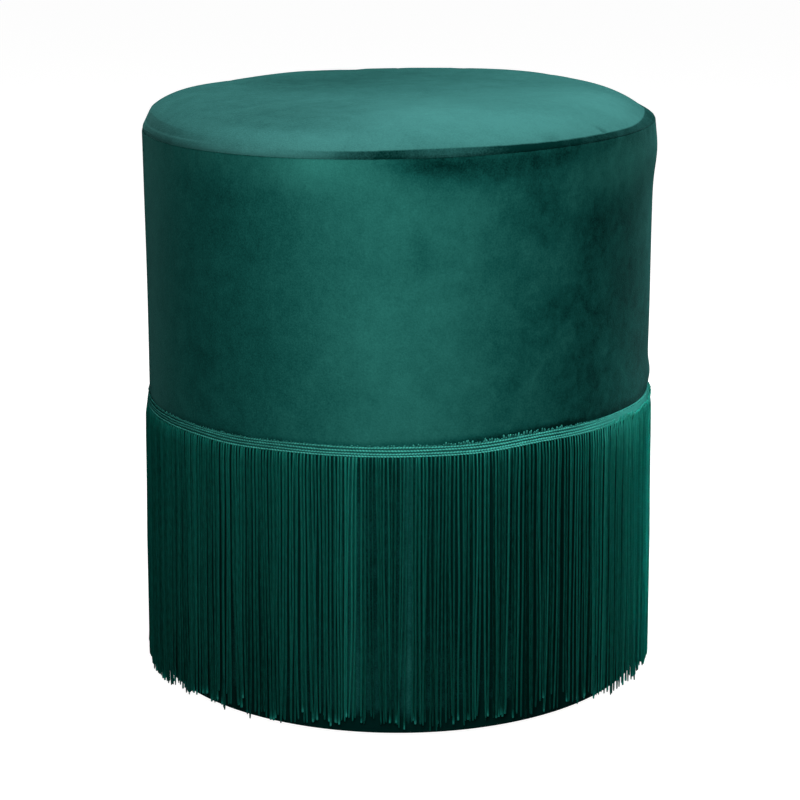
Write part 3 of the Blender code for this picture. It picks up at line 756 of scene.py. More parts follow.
class STOOL_OT_fringe(Operator):
    """Hangs two layers of silky strands from the heading to just above the floor"""

    bl_idname = "stool.fringe"
    bl_label = "Fringe"

    SECTIONS = 6
    SIDES = 6
    RINGS = 17
    OFF_VELVET = 0.0014
    LOWEST_TIP = 0.0018

    def execute(self, context):
        sizes, finish = context.scene.stool_sizes, yarn_finish(context.scene.stool_colours)
        angles, paths, radii, shade, frayed = self.strands(sizes)
        section = ((angles - BACK) % TURN * self.SECTIONS / TURN).astype(int)
        out = ring_point(1.0, angles, 0.0)[:, None, :]
        # The tip layer: painted light on the first rings below the heading, less at the right edge, and
        # lighter frayed ends, partly paler fibres and partly a painted highlight.
        tip = np.zeros((len(angles), self.RINGS))
        lit = 1 - 0.7 * turned_right(from_front(angles), 60, 76)
        tip[:, :3] = np.array((0.7, 0.6, 0.25)) * lit[:, None]
        tip[:, -3:] = np.array((0.8, 1.9, 2.8)) * frayed
        for number in range(self.SECTIONS):
            chosen = np.flatnonzero(section == number)
            thick = radii[chosen][..., None] * np.ones(self.SIDES)
            points = sweep(paths[chosen], out[chosen], thick, self.SIDES)
            quads, caps = tube_faces(*thick.shape)
            layers = {
                "shade": np.repeat(shade[chosen].ravel(), self.SIDES),
                "tip": np.repeat(tip[chosen].ravel(), self.SIDES),
            }
            add_piece(f"fringe_{number + 1}", points, [*quads.tolist(), *caps.tolist()], finish,
                      ["fringe_strands"], layers, self.uvs(paths[chosen], caps))
        return {"FINISHED"}

    def strands(self, sizes):
        """Angle, path, radii, shade and frayed tip of every strand of both layers."""
        random, own = np.random.default_rng(7), np.random.default_rng(9)
        count = sizes.strand_count
        pitch = TURN / count
        front = pitch * (np.arange(count) + random.normal(0, 0.09, count))
        behind = 2 * pitch * (np.arange(count // 2) + random.normal(0, 0.30, count // 2)) + 0.5 * pitch
        angle = np.concatenate([front, behind])
        around, total = from_front(angle), len(angle)
        back = np.arange(total) >= count
        share = np.concatenate([(0, 0.012, 0.03), np.linspace(0.06, 0.93, self.RINGS - 7),
                                (0.965, 0.982, 0.993, 1.0)])

        fused = HeadingRows.flattened(angle) * ~back
        top = HEADING_LOW.z + 0.001 + heading_lift(angle, sizes) + 3.6 * MM * fused * own.uniform(0, 1, total)
        tip = self.tip_heights(sizes, angle, random)
        height = top[:, None] + (tip - top)[:, None] * share
        below = top[:, None] - height
        aside = self.sideways(angle, share, back, random, own)
        stand = self.stand_out(sizes, share, back, fused, random)
        drawn = sewn_in(angle)[:, None] * np.exp(-below / 0.012)
        radius = sizes.body_radius + self.OFF_VELVET + stand - drawn
        paths = ring_point(radius, angle[:, None] + aside / radius, height)

        combed = bell(around, 40, 6)
        thick = sizes.strand_radius * random.normal(1, 0.09, total)[:, None] * (1 - 0.24 * combed[:, None])
        frayed = (own.random(total) < 0.30)[:, None]
        last = (0.955, 0.985, 0.995, 1.0)
        ends = np.where(frayed, np.interp(share, last, (1.0, 1.08, 1.18, 1.0)),
                        np.interp(share, last, (1.0, 0.92, 0.80, 0.60)))
        swell = np.interp(share, (0, 0.02, 0.06), (0.72, 0.8, 1.0)) * ends
        apart = turned_right(around, -12, 26)
        shade = self.shades(angle, share, below, back, apart, random)
        missing = random.random(total) < (0.55 * apart + 0.4 * combed) * (np.abs(around) < 80)
        for degrees in FRINGE_GAPS:
            missing |= np.abs(around - degrees) < 0.9 * np.degrees(pitch)
        kept = ~(missing & back)
        return angle[kept], paths[kept], (thick * swell)[kept], shade[kept], np.where(frayed[kept], 1.0, 0.15)

    def tip_heights(self, sizes, angle, random):
        """Height of every tip: ragged, a few cut short, and lower at the two sides."""
        around, total = from_front(angle), len(angle)
        ragged = 1.6 * ripples(angle, 31, (3, 5, 9, 14)) + 1.5 * ripples(angle, 35, (37, 53, 71))
        single = 1.7 * random.normal(0, 1, total)
        single += np.where(random.random(total) < 0.06, random.uniform(4, 11, total), 0)
        ragged += single * (1 - 0.6 * turned_right(np.abs(around), 30, 60))
        ragged += np.interp(around, *zip(*TIP_LAY))
        tip = sizes.tip_height + np.clip(ragged, -6.5, 14) * MM - 12.5 * MM * np.abs(np.cos(angle)) ** 2.6
        return np.maximum(tip, self.LOWEST_TIP)

    @staticmethod
    def sideways(angle, share, back, random, own):
        """How far every strand strays to its side: clumps, parts and gaps, sway and a curled end."""
        around, total = from_front(angle), len(angle)

        def apart(degrees, most, reach):
            off = around - degrees
            return most * np.sign(off) * np.exp(-np.abs(off) / reach)

        clump = ripples(angle, 32, (23, 31, 44, 59)) + 0.45 * ripples(angle, 33, (83, 107, 141, 167))
        lean = clump + 0.45 * random.normal(0, 1, total)
        lean += np.where(random.random(total) < 0.06, random.normal(0, 2.6, total), 0)
        for degrees in FRINGE_PARTS:
            lean += apart(degrees, 2.6, 1.1)
        start = random.uniform(0, TURN, total)[:, None]
        sway = random.uniform(0.08, 0.40, total)[:, None] * (
            np.sin(share * random.uniform(4, 11, total)[:, None] + start) - np.sin(start))
        waves = ripples(angle[:, None], 36, (29, 43, 61), share, 12.0)
        sway = sway + 0.40 * (waves - waves[:, :1])
        early = own.normal(0, 0.15, total)[:, None] * smooth_step(share, 0, 0.08)
        for degrees in FRINGE_GAPS:
            early = early + (apart(degrees, 0.7, 0.7) * ~back)[:, None] * smooth_step(share, -0.02, 0.13)
        curl = np.random.default_rng(10).normal(0, 0.9, total)[:, None] * share ** 5
        return (lean[:, None] * share ** 1.6 + sway + early + curl) * MM

    @staticmethod
    def stand_out(sizes, share, back, fused, random):
        """How far every strand stands out along its length: flared, loose, and some kicked out."""
        total = len(back)
        spread = np.interp(share, (0, 0.012, 0.06, 0.3, 0.55, 1.0), (0.0, 0.25, 0.42, 0.52, 0.78, 1.0))
        depth = np.where(back, 0.55, 1.0)[:, None]
        loose = random.normal(0, 0.22, total)[:, None] * MM * share ** 1.3
        stand = sizes.fringe_flare * spread * depth + np.clip(loose, -0.5 * MM, 0.6 * MM)
        kick = np.where(random.random(total) < 0.03, random.uniform(1.0, 2.6, total), 0.0)
        stand = stand + kick[:, None] * MM * share ** 6
        return np.maximum(stand, 2.3 * MM * fused[:, None] * np.exp(-share / 0.05))

    @staticmethod
    def shades(angle, share, below, back, apart, random):
        """How light every strand is painted along its length: a tone of its own, painted light below the
        heading and at the right, painted shade on the back layer and towards the tips.
        """
        around = from_front(angle)
        shade = 0.50 + 0.06 * ripples(angle, 34, (7, 13, 29))
        shade += (0.06 + 0.11 * apart) * random.normal(0, 1, len(angle))
        shade = np.clip(shade + np.interp(around, *zip(*FRINGE_TONE_AND_LIGHT)), 0.05, 0.95)
        # Painted shade on the back layer, which hangs behind the front one.
        deep = (0.43 + 0.42 * apart)[:, None] - 0.15 * share
        shade = shade[:, None] * (1 - deep * back[:, None]) + 0.25 * np.exp(-below / 0.006)
        right = turned_right(around, 30, 62) * (1 - 0.5 * turned_right(around, 63, 76))
        shade += 0.66 * right[:, None] * np.exp(-below / 0.020)
        shade += 0.24 * turned_right(around, -4, 26)[:, None] * np.exp(-below / 0.018)
        shade -= (0.06 + 0.11 * bell(around, -30, 9))[:, None] * share
        return shade - 0.16 * turned_right(around, 44, 56)[:, None] * (share - 0.2)

    def uvs(self, paths, caps):
        """Turns round the strand and metres along it, for the twist of its plies."""
        step = np.linalg.norm(np.diff(paths, axis=1), axis=2)
        start = np.random.default_rng(8).uniform(0, 1, (len(paths), 1))
        length = start + np.concatenate([np.zeros((len(paths), 1)), np.cumsum(step, axis=1)], axis=1)
        shape = (len(paths), self.RINGS - 1, self.SIDES)
        left = np.broadcast_to(np.arange(self.SIDES) / self.SIDES, shape)
        near = np.broadcast_to(length[:, :-1, None], shape)
        far = np.broadcast_to(length[:, 1:, None], shape)
        right = left + 1 / self.SIDES
        quads = np.stack([left, near, right, near, right, far, left, far], axis=-1).reshape(-1, 2)
        return np.concatenate([quads, np.zeros((caps.size, 2))])


class STOOL_OT_heading(Operator):
    """Makes the heading: a woven tape, two chain stitches with painted highlights and a row of small loops"""

    bl_idname = "stool.heading"
    bl_label = "Braid heading"

    TAPE_LEVELS = 9
    TAPE_THICKNESS = 0.0006
    WEAVE = 0.00006
    CORD_SIDES = 7
    RINGS_PER_STITCH = 6
    LOOP_RINGS = 8
    LOOP_SIDES = 5
    PROUD = 0.0002

    def execute(self, context):
        sizes, finish = context.scene.stool_sizes, braid_finish(context.scene.stool_colours)
        self.tape(sizes, finish)
        self.cords(sizes, finish)
        self.loops(sizes, finish)
        return {"FINISHED"}

    def tape(self, sizes, finish):
        """Thin woven band behind the cords."""
        angles = TURN * np.arange(ROUND_STEPS) / ROUND_STEPS
        levels = np.linspace(0, HeadingRows.TOP, self.TAPE_LEVELS)
        weave = self.WEAVE * np.where(np.arange(self.TAPE_LEVELS) % 2 == 0, 1, -1)
        face = HeadingRows.radius(sizes, levels)
        flat = HeadingRows.flattened(angles)
        front = (face + weave)[:, None] + 0.0005 * flat
        behind = face[::-1, None] - self.TAPE_THICKNESS + np.zeros(len(angles))
        radius = np.concatenate([front, behind]) - sewn_in(angles)
        height = HEADING_LOW.z + np.concatenate([levels, levels[::-1]])
        points = ring_point(radius, angles, height[:, None] + heading_lift(angles, sizes))
        # Painted light on the tape towards the right, with the braid's painted shade.
        crest = (0.13 + 0.60 * turned_right(from_front(angles), 34, 54)) * HeadingRows.painted_dimming(angles)
        add_piece("heading_tape", points, ring_faces(points), finish, ["fringe_heading"],
                  {"crest": np.broadcast_to(crest, points.shape[:2])})

    def cords(self, sizes, finish):
        """Rows of slanted plies; the two rows of a chain slant opposite ways."""
        stitches = round(TURN * sizes.body_radius / sizes.stitch_length)
        rings = stitches * self.RINGS_PER_STITCH
        angles = TURN * np.arange(rings) / rings
        around = from_front(angles)
        full = turned_right(around, 6, 26)
        plain = turned_right(around, 34, 60)
        left = 1 - turned_right(around, -30, -6)
        turn = TURN * np.arange(self.CORD_SIDES) / self.CORD_SIDES
        points, faces, crests = [], [], []
        for row, level in enumerate(HeadingRows.HEIGHTS):
            way = 1 if row % 2 else -1
            uneven = 0.08 * ripples(angles, 58 + row, (5, 11, 17))
            along = (np.arange(rings) / self.RINGS_PER_STITCH + 0.37 * row + uneven) % 1
            ply = np.sin(math.pi * along) ** 0.6
            reach = sizes.cord_radius * (0.58 + 0.42 * ply)
            reach = reach * (1 + 0.12 * ripples(angles, 50 + row, (61, 97, 151)))
            reach = (reach * (1 + 0.16 * full - 0.45 * HeadingRows.flattened(angles)))[:, None]
            slant = way * 0.24 * MM * (2 * along - 1)
            drift = HeadingRows.DRIFTS[row] * MM * ripples(angles, 55 + row, (4, 7, 19))
            drift = drift + (0.35 * MM * left if row == 1 else 0)
            inner = HeadingRows.radius(sizes, level) + self.PROUD - sewn_in(angles)[:, None]
            height = (HEADING_LOW.z + level + slant + drift + heading_lift(angles, sizes))[:, None]
            cord = ring_point(inner + reach * np.cos(turn), angles[:, None], height + reach * np.sin(turn))
            points.append(cord.reshape(-1, 3))
            quads = outward(points[-1], grid_quads(rings, self.CORD_SIDES, True))
            faces.append(quads + row * rings * self.CORD_SIDES)
            # Painted highlight on each ply's crest and painted shade between plies, lighter where the cords
            # are fuller and flat at the right, with painted shade on the upper rows at the left.
            crest = (0.35 + 0.65 * ply ** 1.5 + 0.15 * full) * (1 - plain) + 0.84 * plain
            crest = crest * (1 - (0.20 * left if row else 0))
            crests.append(np.repeat(crest * HeadingRows.painted_dimming(angles), self.CORD_SIDES))
        add_piece("heading_cords", np.concatenate(points), np.concatenate(faces).tolist(), finish,
                  ["fringe_heading"], {"crest": np.concatenate(crests)})

    def loops(self, sizes, finish):
        """Small uneven loops that stand on the heading's top edge, fuller towards the right."""
        random = np.random.default_rng(60)
        count = round(TURN * sizes.body_radius / sizes.picot_pitch)
        angle = TURN * (np.arange(count) + random.normal(0, 0.25, count)) / count
        around = from_front(angle)
        arc = np.linspace(-0.15, math.pi + 0.15, self.LOOP_RINGS)
        rise = np.sin(arc)
        full = 0.7 + 0.5 * turned_right(around, -15, 12)
        tufted = bell(around, 24, 12)[:, None]
        wide = random.uniform(0.25, 0.60, count)[:, None] * MM
        tall = (random.uniform(0.7, 2.2, count) * full)[:, None] * MM
        tall = tall * (1 + 0.5 * tufted) * (1 - 0.70 * turned_right(around, 36, 52))[:, None]
        lean = random.normal(0, 0.40, count)[:, None] * MM
        out = random.uniform(-0.1, 0.7, count)[:, None] * MM
        foot = HEADING_LOW.z + HeadingRows.HEIGHTS[-1] + heading_lift(angle, sizes)
        radius = HeadingRows.radius(sizes, HeadingRows.HEIGHTS[-1]) + self.PROUD + out * np.clip(rise, 0, 1)
        radius = radius - sewn_in(angle)[:, None]
        turn = angle[:, None] + (wide * np.cos(arc) + lean * rise) / radius
        paths = ring_point(radius, turn, foot[:, None] + tall * rise)
        normals = ring_point(1.0, angle, 0.0)[:, None, :]
        thick = random.uniform(0.15, 0.25, count)[:, None] * MM * (1 + 0.45 * tufted)
        thick = thick[..., None] * np.ones((self.LOOP_RINGS, self.LOOP_SIDES))
        points = sweep(paths, normals, thick, self.LOOP_SIDES)
        quads, caps = tube_faces(*thick.shape)
        # Each loop a tone of its own, with a painted highlight at its top and painted shade at its foot.
        bright = (random.uniform(0.45, 1.0, count) * full)[:, None] * (0.25 + 0.75 * np.clip(rise, 0, 1) ** 3)
        bright = np.repeat(bright.ravel(), self.LOOP_SIDES)
        add_piece("heading_loops", points, [*quads.tolist(), *caps.tolist()], finish,
                  ["fringe_heading"], {"crest": bright})


class STOOL_OT_side_cover(Operator):
    """Wraps the side in one band of velvet, joined at the back and turned under the base"""

    bl_idname = "stool.side_cover"
    bl_label = "Side cover"

    JOINT_GROOVE = 0.0009

    def execute(self, context):
        sizes, colours = context.scene.stool_sizes, context.scene.stool_colours
        angles = round_angles(joint_angles(sizes.body_radius))
        points = self.shape(sizes, angles)
        finish = velvet_finish("velvet_side_finish", colours.velvet_dark, colours.velvet_middle,
                               colours.velvet_light)
        ruffle = 0.75 + 0.70 * turned_right(from_front(angles), 5, 45)
        layers = {"nap": self.nap(points, angles, sizes), "ruffle": np.broadcast_to(ruffle, points.shape[:2])}
        side = add_piece("side_band", points, ring_faces(points), finish, ["side_cover"], layers)
        return {"FINISHED"}

    def shape(self, sizes, angles):
        """Rows of points of the band, one for each point of its closed outline."""
        radius, height, soft = self.profile(sizes)
        slope = sizes.seat_slope * np.clip(height / sizes.seam_height, 0, 1) ** 1.2
        pull = seam_pull(angles, height - sizes.seam_height, sizes)
        joint = self.JOINT_GROOVE * bell((angles - BACK) * sizes.body_radius, 0, self.JOINT_GROOVE)
        wall = side_bulge(angles, height, sizes) - pull - joint
        fade = smooth_step(height, 0.02, 0.10)
        lift = slope * sizes.body_radius * np.cos(angles) * fade
        return ring_point(radius + wall * soft * fade, angles, height + lift)

    @staticmethod
    def profile(sizes):
        """Closed outline of the band: down the outside, under the base and back up the inside."""
        seam, outside = sizes.seam_height, sizes.body_radius
        inside = outside - sizes.velvet_thickness
        low, bent = SIDE_LOW.z, sizes.hem_bend
        roll = low - sizes.hem_roll
        lip = seam - np.array([0.12, 0.4, 0.8, 1.3, 1.9, 2.6, 3.6, 5.0, 7.0, 9.5]) * MM
        trim = HEADING_LOW.z + HeadingRows.TOP
        wall = np.concatenate([np.linspace(seam - 13 * MM, trim + 0.012, 44),
                               np.linspace(trim + 0.010, trim - 0.006, 18),
                               np.linspace(trim - 0.009, roll + bent, 42)])
        bend = np.linspace(0, math.pi / 2, 6)[1:]
        down = [(outside, z, 1.0) for z in np.concatenate([lip, wall])]
        under = [(outside - bent * (1 - math.cos(a)), roll + bent * (1 - math.sin(a)), 1.0) for a in bend]
        under.append((outside - 0.004, (low + roll) / 2, 0.5))
        top = low + sizes.velvet_thickness
        hem = [(radius, low, 0.0) for radius in np.linspace(outside - 0.006, sizes.hem_radius + 0.0008, 6)]
        hem += [(sizes.hem_radius, low + 0.0004, 0.0), (sizes.hem_radius, top - 0.0004, 0.0)]
        hem += [(radius, top, 0.0) for radius in np.linspace(sizes.hem_radius + 0.0008, inside - 0.0012, 5)]
        up = [(inside, z, 0.7) for z in np.concatenate([[top + 0.0012], np.linspace(0.03, seam - 0.02, 14)])]
        up += [(inside - 0.0002, seam - 0.006, 0.35), (inside - 0.0002, seam - 0.0003, 0.35)]
        return as_columns(down + under + hem + up)

    @staticmethod
    def nap(points, angles, sizes):
        """How light the velvet is painted at each point: how its pile lies, with painted light towards the
        front, a painted shadow above the heading, and painted shade behind the fringe and near the floor.
        """
        around = from_front(np.broadcast_to(angles, points.shape[:2]))
        height = points[..., 2]
        nap = np.interp(around, *zip(*SIDE_NAP_AND_LIGHT))
        for degrees, level, wide, tall, change in SIDE_NAP_AND_LIGHT_STROKES:
            near = ((around - degrees) / wide) ** 2 + ((height - level * sizes.seam_height) / tall) ** 2
            nap += change * np.exp(-near)
        right = turned_right(around, -20, 25)
        trim = HEADING_LOW.z + HeadingRows.TOP + heading_lift(angles, sizes)
        # Painted shadow in a band just above the heading, deepest at the right.
        heading_shadow = bell(height, trim + 0.0014 * right, 0.0022 + 0.0008 * right) * (height > trim - 0.002)
        nap -= (0.14 + 0.26 * right - 0.20 * turned_right(around, 30, 50)) * heading_shadow
        # Painted shade on the velvet behind the fringe, lighter near the floor and where the strands part.
        fringe_shade = 1 - smooth_step(height - trim, -0.010, 0.0)
        parted = sum(bell(around, degrees, 1.0) for degrees in FRINGE_PARTS)
        low = 1 - smooth_step(height, 0.03, 0.11)
        nap -= fringe_shade * (0.52 + 0.10 * right - 0.16 * low - 0.30 * np.minimum(parted, 1))
        seam = sizes.seam_height + sizes.seat_slope * points[..., 0]
        nap -= (0.12 - 0.06 * right) * bell(height, seam, 0.0007)
        # Painted shade near the floor, darkest at the bottom edge.
        return nap - 0.6 * (1 - smooth_step(height, 0.006, 0.026))


class STOOL_OT_seat_cover(Operator):
    """Crowns the seat with one round panel of velvet, drawn in along its seam"""

    bl_idname = "stool.seat_cover"
    bl_label = "Seat cover"

    COARSE = 4
    EASE = -0.006
    PRESSURE = 4.0
    FRAMES = 20
    MOST_MOVED = 0.0008
    CREASE_DEPTH = 0.0009

    def execute(self, context):
        sizes, colours = context.scene.stool_sizes, context.scene.stool_colours
        points, faces = self.closed(self.shape(context, sizes))
        # The seat's velvet is a lighter, greyer copy of the side's, with a painted sheen.
        finish = velvet_finish("velvet_seat_finish", colours.velvet_dark, colours.velvet_seat_middle,
                               colours.velvet_seat_with_painted_sheen)
        layers = {"nap": self.nap(points), "ruffle": np.full(len(points), 0.75)}
        seat = add_piece("seat_panel", points, faces, finish, ["seat_cover"], layers)
        return {"FINISHED"}

    def shape(self, context, sizes):
        """Rows of points from the middle of the panel's face to the middle of its underside."""
        angles = round_angles(joint_angles(sizes.body_radius))
        around = from_front(angles)
        radius, height, soft = self.profile(sizes)
        above = np.maximum(height - sizes.seam_height, 0.0)
        share = radius / sizes.body_radius
        edge = smooth_step(share, 0.80, 0.98)
        wall = side_bulge(angles, np.maximum(height, sizes.seam_height), sizes)
        wall = wall - seam_pull(angles, above, sizes)
        taper = 3.0 * bell(around, 85, 28) * smooth_step(above, 0.0, 0.0065)
        taper = taper + 0.8 * bell(around, -88, 30) * bell(above, 0.004, 0.003)
        swing = radius + (wall - taper * MM) * edge * soft
        east, north = radius * np.cos(angles), radius * np.sin(angles)
        uneven = 0.4 * np.sin(38 * east + 1.0) * np.cos(31 * north + 0.4)
        uneven = uneven + 0.3 * np.sin(64 * north - 22 * east + 2.2)
        lift = uneven * MM * (1 - share ** 4) + sizes.seat_slope * east
        lift = lift - self.CREASE_DEPTH * self.crease(angles, share)
        lift = lift + np.clip(3 * above / sizes.crown_rise, 0, 1) * seat_puff(east, north)
        points = ring_point(swing, angles, height + lift)
        return self.settle(context, points, share[:, 0])

    @staticmethod
    def closed(points):
        """The panel's points with the middles of its face and its underside, and all its faces."""
        rows, count = points.shape[:2]
        flat = points.reshape(-1, 3)
        quads = grid_quads(rows, count)
        ring, last = np.arange(count), (rows - 1) * count
        near = np.stack([np.full(count, len(flat)), np.roll(ring, -1), ring], axis=1)
        far = np.stack([np.full(count, len(flat) + 1), last + ring, last + np.roll(ring, -1)], axis=1)
        turned = outward(flat, quads)
        if turned is not quads:
            near, far = near[:, ::-1], far[:, ::-1]
        middle = np.array([[0, 0, points[0, :, 2].mean()], [0, 0, points[-1, :, 2].mean()]])
        return np.concatenate([flat, middle]), [*turned.tolist(), *near.tolist(), *far.tolist()]

    @staticmethod
    def profile(sizes):
        """Outline of the panel from the middle over the crest, in at the seam, and back inside."""
        seam, outside = sizes.seam_height, sizes.body_radius
        inside = outside - sizes.velvet_thickness - 0.0018
        edge = (0.9965, 0.9975, 0.9984, 0.9991, 0.9996, 1.0)
        share = np.concatenate([np.sin(np.linspace(0.03, 1.22, 44)), np.linspace(0.942, 0.9955, 46), edge])
        over = [(outside * s, seam + crown_height(sizes, s), 1.0) for s in share]
        over[-1] = (outside, seam + 0.0001, 1.0)
        fold = seam - sizes.seam_allowance
        lip = outside - sizes.velvet_thickness - 0.0003
        turn = [(lip, seam - 0.0005, 0.3), (lip, fold + 0.0004, 0.0), (lip - 0.0004, fold, 0.0),
                (inside + 0.0004, fold, 0.0), (inside, fold + 0.0004, 0.0), (inside, seam - 0.0005, 0.3)]
        under = np.sin(np.linspace(math.pi / 2 - 0.05, 0.04, 26))
        rise = (sizes.crown_rise - sizes.velvet_thickness) / sizes.crown_rise
        back = [(inside * s, seam + crown_height(sizes, s) * rise, 0.6) for s in under]
        return as_columns(over + turn + back)

    def settle(self, context, points, share):
        """The panel with the unevenness that its face takes when it swells, faded out towards the seam."""
        count = points.shape[1]
        face = int(np.argmax(share)) + 1
        rows = np.unique(np.append(np.arange(0, face, self.COARSE), face - 1))
        places = np.arange(0, count, self.COARSE)
        rise = self.swell(context, points[np.ix_(rows, places)])[..., 2]
        rise = rise - rise.mean(axis=1, keepdims=True)
        rise = rise * (1 - smooth_step(share[rows], 0.60, 0.94))[:, None]
        rise = self.MOST_MOVED * np.tanh(0.5 * rise / self.MOST_MOVED)
        rise = np.concatenate([rise, rise[:, :1]], axis=1)
        along = np.append(places, count)
        dense = np.array([np.interp(np.arange(count), along, row) for row in rise])
        dense = np.array([np.interp(share, share[rows], column) for column in dense.T]).T
        settled = points.copy()
        settled[..., 2] += dense
        return settled

    def swell(self, context, start):
        """How far each point of the coarse face moves when it swells as cloth held at its seam."""
        quads = grid_quads(*start.shape[:2])
        corner = start.reshape(-1, 3)[quads[0]]
        if np.cross(corner[1] - corner[0], corner[2] - corner[0])[2] < 0:
            quads = quads[:, ::-1]
        mesh = bpy.data.meshes.new("seat_cloth")
        mesh.from_pydata(start.reshape(-1, 3).tolist(), [], quads.tolist())
        cloth = bpy.data.objects.new("seat_cloth", mesh)
        context.scene.collection.objects.link(cloth)
        held = np.arange(start[..., 0].size).reshape(start.shape[:2])[-2:]
        cloth.vertex_groups.new(name="seam").add(held.ravel().tolist(), 1.0, "REPLACE")
        swelling = cloth.modifiers.new("swelling", "CLOTH")
        swelling.collision_settings.use_collision = False
        settings = swelling.settings
        settings.vertex_group_mass = "seam"
        settings.quality = 6
        settings.mass = 0.25
        settings.tension_stiffness = settings.compression_stiffness = 15
        settings.bending_stiffness = 0.5
        settings.shrink_min = settings.shrink_max = self.EASE
        settings.use_pressure = True
        settings.uniform_pressure_force = self.PRESSURE
        settings.effector_weights.gravity = 0
        for number in range(1, self.FRAMES + 1):
            context.scene.frame_set(number)
        settled = cloth.evaluated_get(context.evaluated_depsgraph_get()).data
        moved = np.empty(start.size, np.float32)
        settled.vertices.foreach_get("co", moved)
        moved = moved.reshape(start.shape) - start
        context.scene.frame_set(1)
        bpy.data.objects.remove(cloth)
        bpy.data.meshes.remove(mesh)
        return moved

    @staticmethod
    def crease(angles, share):
        """Pinches that run in from the crest at the right: a short sharp one and a faint one."""
        across = from_front(angles) - 50.0 + 40 * (0.982 - share)
        run = smooth_step(share, 0.945, 0.978) * (1 - smooth_step(share, 0.982, 0.990))
        return (bell(across, 0, 0.7) + 0.3 * bell(across, -16, 2.2)) * run

    def nap(self, points):
        """How light the velvet is painted at each point of the seat: how its pile lies with painted light and
        shade, painted shade on the strip below the crest and in the crease, and a painted highlight along the
        crest at the left.
        """
        nap = np.full(len(points), 0.66)
        for east, north, long, wide, degrees, change in SEAT_NAP_AND_LIGHT_STROKES:
            turn = math.radians(degrees)
            x, y = points[:, 0] - east, points[:, 1] - north
            along = x * math.cos(turn) + y * math.sin(turn)
            across = y * math.cos(turn) - x * math.sin(turn)
            nap += change * np.exp(-(along / long) ** 2 - (across / wide) ** 2)
        angles = np.arctan2(points[:, 1], points[:, 0])
        around = from_front(angles)
        share = np.hypot(points[:, 0], points[:, 1]) / SIDE_HIGH.x
        # The strip between the crest and the seam: painted shade where it faces down, a painted highlight
        # along the crest at the left, and lighter just inside the crest at the left front.
        border = 0.985 - 0.026 * turned_right(around, 58, 84) + 0.003 * turned_right(-around, 30, 75)
        border -= 0.004 * bell(around, 8, 15)
        half = 0.003 + 0.0015 * turned_right(-around, 10, 45)
        nap += np.interp(around, *zip(*CREST_NAP_AND_SHADE)) * smooth_step(share, border - half, border + half)
        nap += 0.36 * turned_right(-around, 38, 56) * bell(share, border - 0.002, 0.0020)
        nap += 0.21 * bell(around, -26, 22) * smooth_step(share, 0.86, 0.95)
        # Painted shade in the crease.
        nap -= 0.55 * self.crease(angles, share)
        return nap - 0.08 * (1 - turned_right(around, 5, 35)) * smooth_step(share, 0.9955, 0.9995)


class STOOL_OT_padding(Operator):
    """Lays the seat foam under the seat panel and the foam sheet round the drum"""

    bl_idname = "stool.padding"
    bl_label = "Padding"

    SEAT_STEPS = 96
    SEAT_EDGE = 0.003
    WRAP_STEPS = 180
    WRAP_THICKNESS = 0.0072
    WRAP_EDGE = 0.0012
    WRAP_SLIT = 0.0006

    def execute(self, context):
        finish = grain_finish("foam_finish", (0.62, 0.50, 0.27), (0.86, 0.78, 0.55), EVEN, 260, 0.9)
        self.seat(context.scene.stool_sizes, finish)
        self.wrap(finish)
        return {"FINISHED"}

    def seat(self, sizes, finish):
        """Crowned foam pad with soft edges."""
        low, high, outside = SEAT_FOAM_LOW.z, SEAT_FOAM_HIGH.z, SEAT_FOAM_HIGH.x - 0.0003
        angles = TURN * np.arange(self.SEAT_STEPS) / self.SEAT_STEPS
        share = np.sin(np.linspace(0.04, math.pi / 2, 24))
        rise = high - 0.0018 - sizes.seam_height
        top = sizes.seam_height + crown_height(sizes, share) / sizes.crown_rise * rise - 0.0008
        bend = np.linspace(0, math.pi / 2, 5)
        soft = self.SEAT_EDGE * (1 - np.cos(bend))
        edge = low + self.SEAT_EDGE - self.SEAT_EDGE * np.sin(bend)
        radius = np.concatenate([outside * share, [outside] * 3, outside - soft])[:, None]
        height = np.concatenate([top, np.linspace(top[-1], edge[0], 5)[1:-1], edge])[:, None]
        tilt = smooth_step(height, low + 0.004, sizes.seam_height)
        east, north = radius * np.cos(angles), radius * np.sin(angles)
        lift = tilt * (sizes.seat_slope * east + np.minimum(seat_puff(east, north), 0.0) - 0.0006)
        points = ring_point(radius, angles, height + lift)
        pad = add_piece("seat_foam_pad", points, lathe_faces(points), finish, ["seat_foam"])

    def wrap(self, finish):
        """Foam sheet bent round the drum, its ends butted at the back."""
        low, high, outside = SIDE_FOAM_LOW.z, SIDE_FOAM_HIGH.z, SIDE_FOAM_HIGH.x - 0.0004
        inside, soft = outside - self.WRAP_THICKNESS, self.WRAP_EDGE
        radius, height = as_columns([
            (inside + soft, low), (outside - soft, low), (outside, low + soft), (outside, high - soft),
            (outside - soft, high), (inside + soft, high), (inside, high - soft), (inside, low + soft)])
        slit = self.WRAP_SLIT / outside
        angles = np.linspace(BACK + slit, BACK + TURN - slit, self.WRAP_STEPS)
        points = ring_point(radius, angles, height).transpose(1, 0, 2)
        pad = add_piece("side_foam_wrap", points, lathe_faces(points), finish, ["side_foam"])


